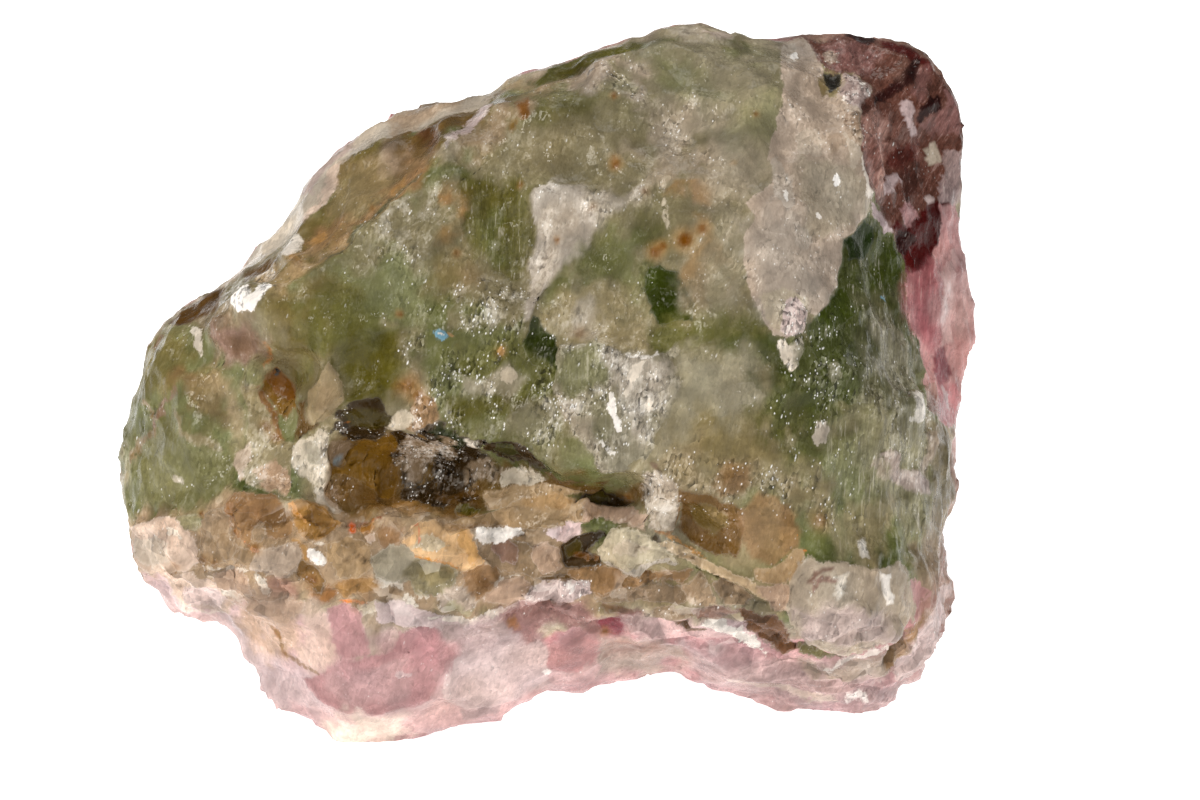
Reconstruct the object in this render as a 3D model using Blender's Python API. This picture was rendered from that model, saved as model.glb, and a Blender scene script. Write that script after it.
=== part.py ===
"""Rough fluorite: one broken, colour-zoned chunk, resting on the flats under its two lower lobes.

The stone is drawn as it looks from the front, tipped 20 degrees down. A front drawing gives, for each
corner of the broken surface, its place across (X, to the right) and down (Y), in units of 1/14 mm, and
how far it stands towards the viewer (W, in mm). A second drawing gives the back in the same way. Both
share the outline, so together they close one solid. The surface is then evened out, broken up by
cleavage chips and flaky courses, and ground flat where it stands.
"""

import math

import bmesh
import bpy
import numpy as np
from mathutils import Vector
from mathutils.geometry import delaunay_2d_cdt

for old in list(bpy.data.objects):
    bpy.data.objects.remove(old, do_unlink=True)

# Driving dimensions
UNIT_MM = 1 / 14  # one drawing unit, so the stone is 854 units = 61 mm across
CENTRE_X, CENTRE_Y = 546.0, 384.5  # middle of the drawing, in drawing units
TILT = math.radians(20)  # how far the front drawing looks down
GROUND_MM = -23.9  # height of the resting flats below the middle of the drawing
ORIGIN_MM = (0.05, 5.23)  # middle of the stone's box, across and back, from the middle of the drawing
RIM_UNITS = 5.0  # how far the outline is drawn oversize, which the smoothing takes off again
VOXEL_MM = 0.62  # spacing of the evened-out surface
SMOOTHING = 3  # passes that take the knife edges off the drawing
SCOOP_MM, SCOOP_DEPTH_MM = 6.4, 0.62  # large scoops of the broken faces
FINE_SCOOP_MM, FINE_SCOOP_DEPTH_MM = 2.7, 0.27  # small ones
COURSE_MM = (5.6, 1.7, 3.6)  # flakes of the ledge courses: across, up, deep
COURSE_DEPTH_MM = 0.6
FACES = 9300  # triangles of the finished solid

# Outline: across, down, towards the viewer. Clockwise from the upper left.
OUTLINE = [
    (498, 92, -2.5), (522, 76, -3), (563, 60, -3.5), (604, 47, -4), (642, 42, -4), (670, 32, -4),
    (700, 31, -4), (724, 30, -4), (755, 37, -4.5), (783, 35, -5), (807, 33, -5.5), (833, 30, -6),
    (853, 29, -6.5), (879, 33, -7), (912, 42, -7), (930, 55, -7), (945, 74, -7), (962, 107, -7),
    (963, 128, -7), (960, 153, -7), (961, 184, -7), (960, 227, -7), (970, 265, -7), (973, 301, -7),
    (973, 339, -7), (970, 360, -7), (961, 378, -7), (956, 416, -6.5), (955, 439, -6), (957, 487, -6),
    (955, 503, -6), (944, 538, -6), (947, 571, -6), (948, 607, -6), (945, 628, -6), (922, 658, -6),
    (914, 673, -6), (901, 681, -6), (898, 694, -6), (884, 704, -6), (863, 714, -6), (838, 712, -6),
    (802, 709, -5.5), (784, 709, -5.5), (761, 699, -5), (731, 690, -4), (700, 679, -3), (675, 671, -3),
    (655, 672, -3), (630, 679, -2.5), (604, 682, -2), (579, 690, -1.5), (548, 689, -1), (522, 701, -0.5),
    (497, 717, 0), (464, 724, 0), (431, 732, 0), (406, 738, 0), (368, 741, 0), (335, 740, 0),
    (324, 719, 0), (304, 712, -0.5), (284, 713, -1), (261, 689, -1.5), (258, 668, -2), (245, 658, -2),
    (233, 628, -2), (210, 615, -2.5), (184, 610, -3), (161, 587, -3), (133, 546, -3), (128, 520, -3),
    (119, 480, -3), (122, 454, -3), (131, 403, -3), (146, 370, -3), (148, 350, -3), (161, 332, -3),
    (197, 300, -3.5), (222, 286, -3.5), (256, 255, -4), (286, 222, -4), (324, 166, -4.5),
    (368, 133, -4.5), (393, 115, -4.5), (426, 102, -4), (462, 100, -3.5),
]

FRONT = {
    "thin upper edge": [
        (543, 79, 0.5), (600, 62, 0.8), (645, 52, 0.3), (700, 46, -0.6), (745, 50, -0.8), (783, 55, -1.2),
    ],
    "upper left rim": [
        (258, 262, 0.5), (300, 212, 0.3), (355, 152, 0), (380, 135, 0), (424, 127, 0), (465, 112, 0.2),
    ],
    "upper left flank": [
        (290, 258, 4.4), (330, 225, 4), (380, 178, 3.5), (420, 148, 3), (455, 124, 3),
    ],
    "ridge": [
        (500, 104, 2.6), (465, 137, 5), (430, 162, 6), (390, 200, 7), (350, 240, 8), (325, 262, 8.5),
        (290, 287, 8.5), (262, 305, 8.2),
    ],
    "main face, top": [
        (540, 110, 4.5), (600, 95, 3.8), (650, 92, 3.6), (700, 90, 3.4), (750, 90, 3.0), (776, 110, 3.4),
        (500, 150, 6.2), (560, 160, 6.6), (620, 150, 6.0), (680, 150, 6.0), (740, 160, 6.4), (768, 168, 5.6),
    ],
    "main face, middle": [
        (440, 200, 7.8), (480, 220, 7.3), (515, 215, 7.2), (535, 190, 8.3), (590, 200, 8.4), (640, 215, 8.3),
        (700, 215, 8.7), (745, 230, 8.3), (400, 250, 8.9), (450, 265, 9.0), (512, 262, 8.6), (560, 270, 9.9),
        (520, 325, 10.8), (600, 262, 8.9), (610, 320, 10.6), (655, 285, 9.2), (690, 300, 9.0), (740, 300, 10.4),
    ],
    "main face, low": [
        (330, 310, 9.6), (390, 320, 10.0), (445, 330, 10.6), (485, 345, 10.1), (300, 350, 9.0),
        (345, 380, 9.5), (400, 380, 10.2), (430, 370, 10.6), (500, 385, 10.4), (540, 332, 9.6),
        (556, 400, 11.0), (600, 345, 11.8), (650, 350, 12.2), (682, 345, 11.1), (590, 440, 12.2),
        (670, 400, 12.2), (700, 330, 10.3), (750, 335, 10.8), (790, 352, 10.3), (740, 400, 11.4),
        (700, 450, 12.0), (780, 450, 11.4), (760, 490, 11.2), (690, 492, 11.5), (825, 505, 9.8),
    ],
    "frosted band": [
        (800, 62, -0.6), (832, 78, 0.0), (862, 80, -0.2), (868, 120, 2.2), (868, 170, 3.2), (864, 203, 3.8),
        (845, 280, 6.4), (802, 312, 9.4), (776, 335, 11.0), (800, 120, 3.4), (800, 200, 6.6), (790, 260, 8.7),
        (835, 200, 5.4), (830, 140, 3.4),
    ],
    "upper right shoulder": [
        (876, 60, -4.0), (884, 95, -1.6), (888, 145, -0.6), (886, 200, 0.2), (920, 72, -4.4), (930, 110, -3.6),
        (925, 160, -2.9), (920, 210, -2.6), (948, 120, -5.2), (948, 190, -4.9),
    ],
    "right side": [
        (872, 230, 2.6), (900, 262, 0.2), (860, 290, 5.7), (900, 325, 2.2), (850, 340, 7.4), (918, 300, -0.4),
        (918, 400, 1.6), (875, 400, 6.0), (832, 400, 9.4), (842, 450, 9.0), (892, 450, 5.4), (932, 440, -0.2),
        (936, 485, -1.0), (880, 510, 6.2), (915, 520, 2.2), (850, 540, 8.3), (896, 545, 5.6), (934, 560, -1.5),
        (940, 250, -4.2), (950, 300, -4.2), (950, 350, -4.6), (942, 385, -4.4),
    ],
    "lower right block": [
        (790, 570, 8.5), (785, 600, 7.8), (830, 560, 9.3), (880, 560, 8.4), (903, 580, 6.6), (908, 618, 5.0),
        (840, 600, 10.0), (870, 612, 9.0), (800, 622, 7.0), (838, 643, 6.4), (882, 636, 6.0),
    ],
    "groove under the block": [
        (798, 637, 4.4), (840, 655, 3.4), (890, 646, 2.8), (918, 636, 1.4), (924, 600, 0.8),
    ],
    "lower right edge": [
        (850, 672, 2.8), (882, 672, 1.4), (904, 662, 0.0), (936, 605, -2.2), (930, 640, -2.8), (840, 692, -1.4),
        (870, 694, -2.6), (800, 685, -0.4), (760, 676, 1.4), (720, 668, 2.0), (700, 660, 2.4), (676, 656, 1.6),
    ],
    "lower lip of the main face": [
        (300, 420, 8.0), (340, 432, 9.3), (380, 428, 9.7), (420, 440, 10.1), (470, 445, 10.4), (510, 450, 10.7),
        (560, 458, 11.3), (600, 470, 11.9), (635, 464, 12.8), (665, 478, 11.9), (702, 503, 10.8), (745, 512, 10.9),
        (792, 522, 10.2),
    ],
    "hollow under the lip": [
        (348, 458, 6.4), (380, 468, 6.0), (430, 474, 5.8), (480, 474, 6.6), (530, 474, 7.4), (575, 486, 7.7),
        (610, 493, 7.3), (634, 492, 7.9), (345, 490, 6.4), (400, 495, 6.4), (600, 504, 7.8), (620, 504, 8.0),
    ],
    "ledge, upper edge": [
        (330, 503, 8.0), (380, 512, 8.4), (430, 516, 8.8), (480, 508, 9.0), (540, 500, 9.3), (580, 510, 9.8),
        (640, 516, 10.4), (664, 540, 10.1),
    ],
    "ledge, front": [
        (245, 490, 8.0), (290, 500, 8.7), (310, 540, 9.0), (360, 535, 8.9), (410, 530, 9.4), (450, 540, 9.9),
        (475, 560, 9.6), (500, 530, 9.0), (540, 542, 9.8), (560, 520, 9.9), (566, 545, 8.2), (600, 528, 8.6),
        (640, 548, 10.3), (676, 560, 9.8), (720, 577, 9.5), (770, 592, 8.8), (730, 548, 8.9), (690, 520, 9.2),
        (770, 540, 9.6),
    ],
    "lower ledge": [
        (240, 560, 7.4), (300, 580, 8.0), (360, 592, 8.2), (420, 600, 8.4), (456, 598, 8.8), (500, 590, 8.6),
        (540, 580, 8.8), (600, 586, 8.3), (650, 588, 8.4), (700, 600, 8.2), (750, 618, 7.4), (600, 566, 8.2),
        (680, 582, 8.6),
    ],
    "ledge, lower edge": [
        (200, 575, 4.2), (250, 604, 5.6), (300, 612, 6.6), (350, 606, 7.2), (400, 625, 7.6), (440, 624, 8.0),
        (500, 611, 7.9), (530, 599, 7.7), (600, 608, 7.4), (650, 624, 7.0), (700, 628, 6.4), (760, 646, 4.8),
    ],
    "pink base": [
        (240, 632, 0.0), (270, 650, 2.0), (290, 690, 1.0), (320, 645, 5.2), (330, 692, 3.6), (390, 636, 6.6),
        (440, 640, 7.0), (380, 662, 6.8), (400, 700, 4.6), (446, 690, 4.6), (456, 645, 5.6), (470, 700, 3.0),
        (350, 722, 2.2), (420, 722, 2.2), (510, 660, 4.2), (520, 684, 2.0), (556, 640, 4.6), (580, 674, 2.0),
        (620, 640, 4.6), (640, 660, 2.2), (550, 680, 1.2),
    ],
    "left lobe": [
        (160, 350, 0.0), (182, 330, 1.2), (215, 308, 3.2), (234, 286, 3.4), (137, 430, 0.4), (150, 382, 1.6),
        (185, 380, 4.6), (190, 430, 5.7), (216, 400, 5.4), (240, 400, 5.6), (240, 450, 5.9), (200, 480, 5.3),
        (152, 480, 2.6), (132, 476, -0.4), (142, 512, 0.6), (190, 508, 4.6), (228, 500, 6.2), (165, 532, 3.2),
        (148, 557, 0.2), (182, 590, 0.2), (212, 600, 1.2),
    ],
    "patch above the lobe": [
        (215, 322, 5.2), (240, 332, 6.7), (262, 346, 7.4), (250, 366, 6.6), (225, 356, 5.8), (248, 296, 6.6),
    ],
    "recess": [(268, 372, 5.4), (285, 378, 5.0), (294, 412, 5.5), (272, 412, 5.6)],
    "angular flake": [(326, 364, 10.2), (345, 398, 10.6), (312, 428, 9.6), (300, 394, 8.4)],
    "broken patch": [
        (294, 440, 8.0), (330, 440, 8.6), (340, 472, 7.6), (305, 476, 7.6), (254, 462, 6.6), (288, 488, 7.8),
        (262, 438, 6.2),
    ],
}

BACK = {
    "under the upper edge": [
        (560, 92, -8), (680, 66, -9), (800, 62, -10.5), (900, 78, -11), (430, 150, -9),
    ],
    "upper back": [
        (330, 235, -10), (410, 190, -12.5), (520, 160, -15.5), (640, 140, -17.5), (770, 145, -18.5),
        (880, 150, -16.5), (938, 180, -12),
    ],
    "middle back": [
        (180, 370, -8), (270, 330, -14), (400, 290, -18), (520, 260, -21), (650, 240, -22.8), (780, 250, -22.5),
        (890, 270, -18.5), (945, 310, -12.5),
    ],
    "lower back": [
        (165, 450, -9), (250, 430, -15.5), (390, 400, -20), (540, 385, -23.4), (700, 380, -24.6),
        (830, 395, -23), (915, 430, -16.5), (938, 470, -11),
    ],
    "back foot": [
        (180, 540, -9.5), (250, 560, -15), (340, 598, -19.5), (430, 622, -21.2), (500, 636, -21.4),
        (580, 638, -21.6), (650, 622, -22.8), (790, 604, -22), (890, 592, -16),
    ],
    "underside": [
        (230, 600, -9), (300, 655, -10.5), (330, 706, -6), (390, 718, -6), (420, 676, -14), (500, 670, -16),
        (575, 670, -16.4), (620, 648, -17), (560, 655, -8), (640, 640, -10), (690, 636, -15), (760, 650, -15),
        (760, 674, -10), (850, 694, -10), (870, 654, -15), (925, 620, -9),
    ],
}


def to_stone(x, y, w):
    """A point of the drawings in the stone's own upright frame, in mm."""
    across, up = (x - CENTRE_X) * UNIT_MM, (CENTRE_Y - y) * UNIT_MM
    return (
        across,
        up * math.sin(TILT) - w * math.cos(TILT),
        up * math.cos(TILT) + w * math.sin(TILT),
    )


def to_drawing(points):
    """Across and down in drawing units, and towards the viewer in mm, of points in the upright frame."""
    x, y, z = points.T
    up = y * math.sin(TILT) + z * math.cos(TILT)
    w = -y * math.cos(TILT) + z * math.sin(TILT)
    return CENTRE_X + x / UNIT_MM, CENTRE_Y - up / UNIT_MM, w


def oversize_outline():
    """The outline moved outwards by RIM_UNITS, and a little more at its sharp convex corners."""
    flat = [Vector((x, y)) for x, y, _ in OUTLINE]
    n = len(flat)
    found = []
    for i, (x, y, w) in enumerate(OUTLINE):
        along = (flat[(i + 2) % n] - flat[i - 2]).normalized()
        out = Vector((along.y, -along.x))
        bend = (flat[(i + 2) % n] - flat[i]).normalized().cross((flat[i] - flat[i - 2]).normalized())
        away = RIM_UNITS * (1 + 1.2 * max(-bend, 0.0))
        found.append((x + out.x * away, y + out.y * away, w))
    return found


def sheet(bm, outline, ring, inner, facing):
    """Spans the outline with triangles through the inner corners of one drawing."""
    flat = [Vector((v[0], v[1])) for v in outline] + [Vector((p[0], p[1])) for p in inner]
    corners = ring + [bm.verts.new(to_stone(*p)) for p in inner]
    n = len(outline)
    edges = [(i, (i + 1) % n) for i in range(n)]
    _, _, faces, sources, _, _ = delaunay_2d_cdt(flat, edges, [], 1, 1e-4)
    # The outline is clockwise on a page whose Y runs down, so its triangles are turned to face out.
    for face in faces:
        found = [corners[sources[i][0]] for i in face]
        a, b, c = (flat[sources[i][0]] for i in face)
        turn = (b - a).cross(c - a)
        if (turn > 0) == facing:
            found.reverse()
        bm.faces.new(found)


def drawn_solid():
    bm = bmesh.new()
    outline = oversize_outline()
    ring = [bm.verts.new(to_stone(*p)) for p in outline]
    sheet(bm, outline, ring, [p for group in FRONT.values() for p in group], True)
    sheet(bm, outline, ring, [p for group in BACK.values() for p in group], False)
    return bm


def hashed(i, j, k, seed):
    """A number from 0 to 1 for each whole-numbered cell."""
    h = (i * 374761393 + j * 668265263 + k * 1274126177 + seed * 362437) & 0xFFFFFFFF
    h = ((h ^ (h >> 13)) * 1274126177) & 0xFFFFFFFF
    h = ((h ^ (h >> 16)) * 2246822519) & 0xFFFFFFFF
    return ((h ^ (h >> 15)) & 0xFFFFFF) / float(0xFFFFFF)


def swell(points, seed):
    """Smooth noise from -1 to 1 with features one unit across."""
    cell = np.floor(points).astype(np.int64)
    part = points - cell
    fade = part * part * part * (part * (part * 6 - 15) + 10)
    total = 0.0
    for corner in range(8):
        step = np.array([corner & 1, corner >> 1 & 1, corner >> 2 & 1])
        share = np.prod(np.where(step, fade, 1 - fade), axis=1)
        total = total + share * hashed(*(cell + step).T, seed)
    return total * 2 - 1


def rough(points, seed, octaves=3):
    return sum(swell(points * 2.03**i + 17.3 * i, seed + i) * 0.5**i for i in range(octaves))


def chips(points, seed):
    """Broken cleavage: each cell is a flat chip with a tilt and a height of its own. Returns its height, -1 to 1."""
    cell = np.floor(points).astype(np.int64)
    nearest = np.full(len(points), 9.0)
    height = np.zeros(len(points))
    for i in (-1, 0, 1):
        for j in (-1, 0, 1):
            for k in (-1, 0, 1):
                at = cell + (i, j, k)
                a, b, c = at.T
                spot = np.stack([hashed(a, b, c, seed + s) for s in (1, 2, 3)], 1)
                away = points - (at + 0.15 + 0.7 * spot)
                far = (away * away).sum(1)
                tip = np.stack([hashed(a, b, c, seed + s) - 0.5 for s in (4, 5, 6)], 1) * 2
                tall = (away * tip).sum(1) + (hashed(a, b, c, seed + 7) - 0.5) * 1.2
                closer = far < nearest
                nearest = np.where(closer, far, nearest)
                height = np.where(closer, tall, height)
    return height


def scoops(points, seed, bowl=1.1):
    """Conchoidal breakage: shallow scoops that meet in sharp ridges. Returns the height, about -1 to 1."""
    cell = np.floor(points).astype(np.int64)
    lowest = np.full(len(points), 9.0)
    for i in (-1, 0, 1):
        for j in (-1, 0, 1):
            for k in (-1, 0, 1):
                at = cell + (i, j, k)
                a, b, c = at.T
                spot = np.stack([hashed(a, b, c, seed + s) for s in (1, 2, 3)], 1)
                away = points - (at + 0.1 + 0.8 * spot)
                tip = np.stack([hashed(a, b, c, seed + s) - 0.5 for s in (4, 5, 6)], 1) * 1.4
                tall = bowl * (away * away).sum(1) + (away * tip).sum(1) + (hashed(a, b, c, seed + 7) - 0.5) * 0.9
                lowest = np.minimum(lowest, tall)
    return lowest * 1.6 - 0.35


def step(low, high, value):
    t = np.clip((value - low) / (high - low), 0, 1)
    return t * t * (3 - 2 * t)


def ledge_share(points):
    """1 on the flaky courses between the green body and the pink layer, 0 away from them."""
    x, y, w = to_drawing(points)
    top = np.interp(x, [120, 230, 340, 560, 670, 800, 960], [510, 492, 500, 498, 530, 590, 640])
    bottom = np.interp(x, [120, 250, 440, 530, 680, 830, 960], [600, 612, 628, 604, 640, 690, 700])
    front = step(top - 14, top + 14, y) * (1 - step(bottom - 10, bottom + 22, y))
    return front * step(-6, 0, w) + 0.45 * (1 - step(-6, 0, w)) * step(470, 560, y)


def rim_share(x, y):
    """1 on the outline and 0 from about 1.5 mm inside it, by the distance to the drawn outline."""
    ends = np.array([(a, b) for a, b, _ in OUTLINE])
    nearest = np.full(len(x), 1e9)
    for (ax, ay), (bx, by) in zip(ends, np.roll(ends, -1, axis=0)):
        dx, dy = bx - ax, by - ay
        t = np.clip(((x - ax) * dx + (y - ay) * dy) / (dx * dx + dy * dy), 0, 1)
        nearest = np.minimum(nearest, (x - ax - t * dx) ** 2 + (y - ay - t * dy) ** 2)
    return np.exp(-nearest / 14.0**2)


def broken(points):
    """How far the broken surface stands out from the drawn one, in mm."""
    warp = np.stack([swell(points / 3.1 + 50 * s, 90 + s) for s in range(3)], 1)
    bent = points + 0.8 * warp
    ledge = ledge_share(points)
    x, y, w = to_drawing(points)
    base = step(600, 640, y) * (1 - ledge)  # the pink base broke in larger, smoother faces
    calm = 1 - 0.65 * rim_share(x, y)  # the outline keeps its drawn shape
    out = 0.35 * calm * rough(points / 9.0, 11, 3)
    out += SCOOP_DEPTH_MM * calm * (1 - 0.5 * ledge) * scoops(bent / SCOOP_MM, 21)
    out += FINE_SCOOP_DEPTH_MM * (1 - 0.4 * base) * scoops(bent / FINE_SCOOP_MM + 7.7, 41)
    out += COURSE_DEPTH_MM * ledge * chips(bent / np.array(COURSE_MM), 61)
    return out


def as_arrays(mesh):
    points = np.empty(len(mesh.vertices) * 3, np.float32)
    normals = np.empty(len(mesh.vertices) * 3, np.float32)
    mesh.vertices.foreach_get("co", points)
    mesh.vertices.foreach_get("normal", normals)
    return points.reshape(-1, 3).astype(float), normals.reshape(-1, 3).astype(float)


def finished(obj):
    """A new mesh holding the object with its modifiers applied."""
    graph = bpy.context.evaluated_depsgraph_get()
    return bpy.data.meshes.new_from_object(obj.evaluated_get(graph))


def make_stone():
    drawn = bpy.data.meshes.new("drawn")
    bm = drawn_solid()
    bm.to_mesh(drawn)
    bm.free()
    obj = bpy.data.objects.new("fluorite", drawn)
    bpy.context.scene.collection.objects.link(obj)

    even = obj.modifiers.new("even", "REMESH")
    even.mode = "VOXEL"
    even.voxel_size = VOXEL_MM
    soften = obj.modifiers.new("soften", "SMOOTH")
    soften.factor, soften.iterations = 0.5, SMOOTHING
    obj.data = finished(obj)
    obj.modifiers.clear()

    points, normals = as_arrays(obj.data)
    points += normals * broken(points)[:, None]
    points[:, 2] = np.maximum(points[:, 2], GROUND_MM)
    obj.data.vertices.foreach_set("co", points.astype(np.float32).ravel())
    obj.data.update()

    fewer = obj.modifiers.new("fewer", "DECIMATE")
    fewer.use_collapse_triangulate = True
    fewer.ratio = FACES / (2 * len(obj.data.polygons))
    obj.data = finished(obj)
    obj.modifiers.clear()

    points, _ = as_arrays(obj.data)
    points[:, 2] = np.where(points[:, 2] < GROUND_MM + 0.06, GROUND_MM, points[:, 2])
    points -= (*ORIGIN_MM, GROUND_MM)
    obj.data.vertices.foreach_set("co", (points * 0.001).astype(np.float32).ravel())
    obj.data.update()
    obj.data.shade_flat()
    return obj


stone = make_stone()
material = bpy.data.materials.new("fluorite")
material.use_nodes = True
shader = material.node_tree.nodes["Principled BSDF"]
shader.inputs["Base Color"].default_value = (0.33, 0.34, 0.22, 1)
shader.inputs["Roughness"].default_value = 0.3
shader.inputs["Metallic"].default_value = 0.0
shader.inputs["IOR"].default_value = 1.434
stone.data.materials.clear()
stone.data.materials.append(material)
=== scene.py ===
"""Looks of the rough fluorite: the fine broken surface, the colour zones, a pale floor, soft light and the camera."""

import math

import bmesh
import bpy
import numpy as np
from mathutils import Matrix, Vector
from mathutils.geometry import delaunay_2d_cdt


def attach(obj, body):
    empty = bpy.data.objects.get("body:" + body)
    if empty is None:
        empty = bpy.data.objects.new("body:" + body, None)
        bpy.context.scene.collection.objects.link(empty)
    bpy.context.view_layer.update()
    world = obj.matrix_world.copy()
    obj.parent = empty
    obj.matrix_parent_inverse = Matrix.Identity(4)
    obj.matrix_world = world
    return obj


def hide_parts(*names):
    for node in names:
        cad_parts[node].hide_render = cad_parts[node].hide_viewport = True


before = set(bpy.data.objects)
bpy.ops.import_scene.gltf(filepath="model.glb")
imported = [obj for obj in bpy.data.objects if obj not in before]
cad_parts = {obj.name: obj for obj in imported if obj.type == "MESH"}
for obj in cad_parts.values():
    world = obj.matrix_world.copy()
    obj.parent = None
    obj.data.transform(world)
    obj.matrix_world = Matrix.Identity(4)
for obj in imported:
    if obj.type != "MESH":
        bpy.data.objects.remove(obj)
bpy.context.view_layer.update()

# The drawing, as in the solid: X across and Y down in units of 1/14 mm, W towards the viewer in mm.
UNIT_MM = 1 / 14
CENTRE_X, CENTRE_Y = 546.0, 384.5
TILT = math.radians(20)
GROUND_MM = -23.9
ORIGIN_MM = (0.05, 5.23)
RIM_UNITS = 5.0
VOXEL_MM = 0.54
SMOOTHING = 3
SCOOP_MM, SCOOP_DEPTH_MM = 6.4, 0.62
FINE_SCOOP_MM, FINE_SCOOP_DEPTH_MM = 2.7, 0.27
COURSE_MM = (5.6, 1.7, 3.6)
COURSE_DEPTH_MM = 0.6

# Outline: across, down, towards the viewer. Clockwise from the upper left.
OUTLINE = [
    (498, 92, -2.5), (522, 76, -3), (563, 60, -3.5), (604, 47, -4), (642, 42, -4), (670, 32, -4),
    (700, 31, -4), (724, 30, -4), (755, 37, -4.5), (783, 35, -5), (807, 33, -5.5), (833, 30, -6),
    (853, 29, -6.5), (879, 33, -7), (912, 42, -7), (930, 55, -7), (945, 74, -7), (962, 107, -7),
    (963, 128, -7), (960, 153, -7), (961, 184, -7), (960, 227, -7), (970, 265, -7), (973, 301, -7),
    (973, 339, -7), (970, 360, -7), (961, 378, -7), (956, 416, -6.5), (955, 439, -6), (957, 487, -6),
    (955, 503, -6), (944, 538, -6), (947, 571, -6), (948, 607, -6), (945, 628, -6), (922, 658, -6),
    (914, 673, -6), (901, 681, -6), (898, 694, -6), (884, 704, -6), (863, 714, -6), (838, 712, -6),
    (802, 709, -5.5), (784, 709, -5.5), (761, 699, -5), (731, 690, -4), (700, 679, -3), (675, 671, -3),
    (655, 672, -3), (630, 679, -2.5), (604, 682, -2), (579, 690, -1.5), (548, 689, -1), (522, 701, -0.5),
    (497, 717, 0), (464, 724, 0), (431, 732, 0), (406, 738, 0), (368, 741, 0), (335, 740, 0),
    (324, 719, 0), (304, 712, -0.5), (284, 713, -1), (261, 689, -1.5), (258, 668, -2), (245, 658, -2),
    (233, 628, -2), (210, 615, -2.5), (184, 610, -3), (161, 587, -3), (133, 546, -3), (128, 520, -3),
    (119, 480, -3), (122, 454, -3), (131, 403, -3), (146, 370, -3), (148, 350, -3), (161, 332, -3),
    (197, 300, -3.5), (222, 286, -3.5), (256, 255, -4), (286, 222, -4), (324, 166, -4.5),
    (368, 133, -4.5), (393, 115, -4.5), (426, 102, -4), (462, 100, -3.5),
]

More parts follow.
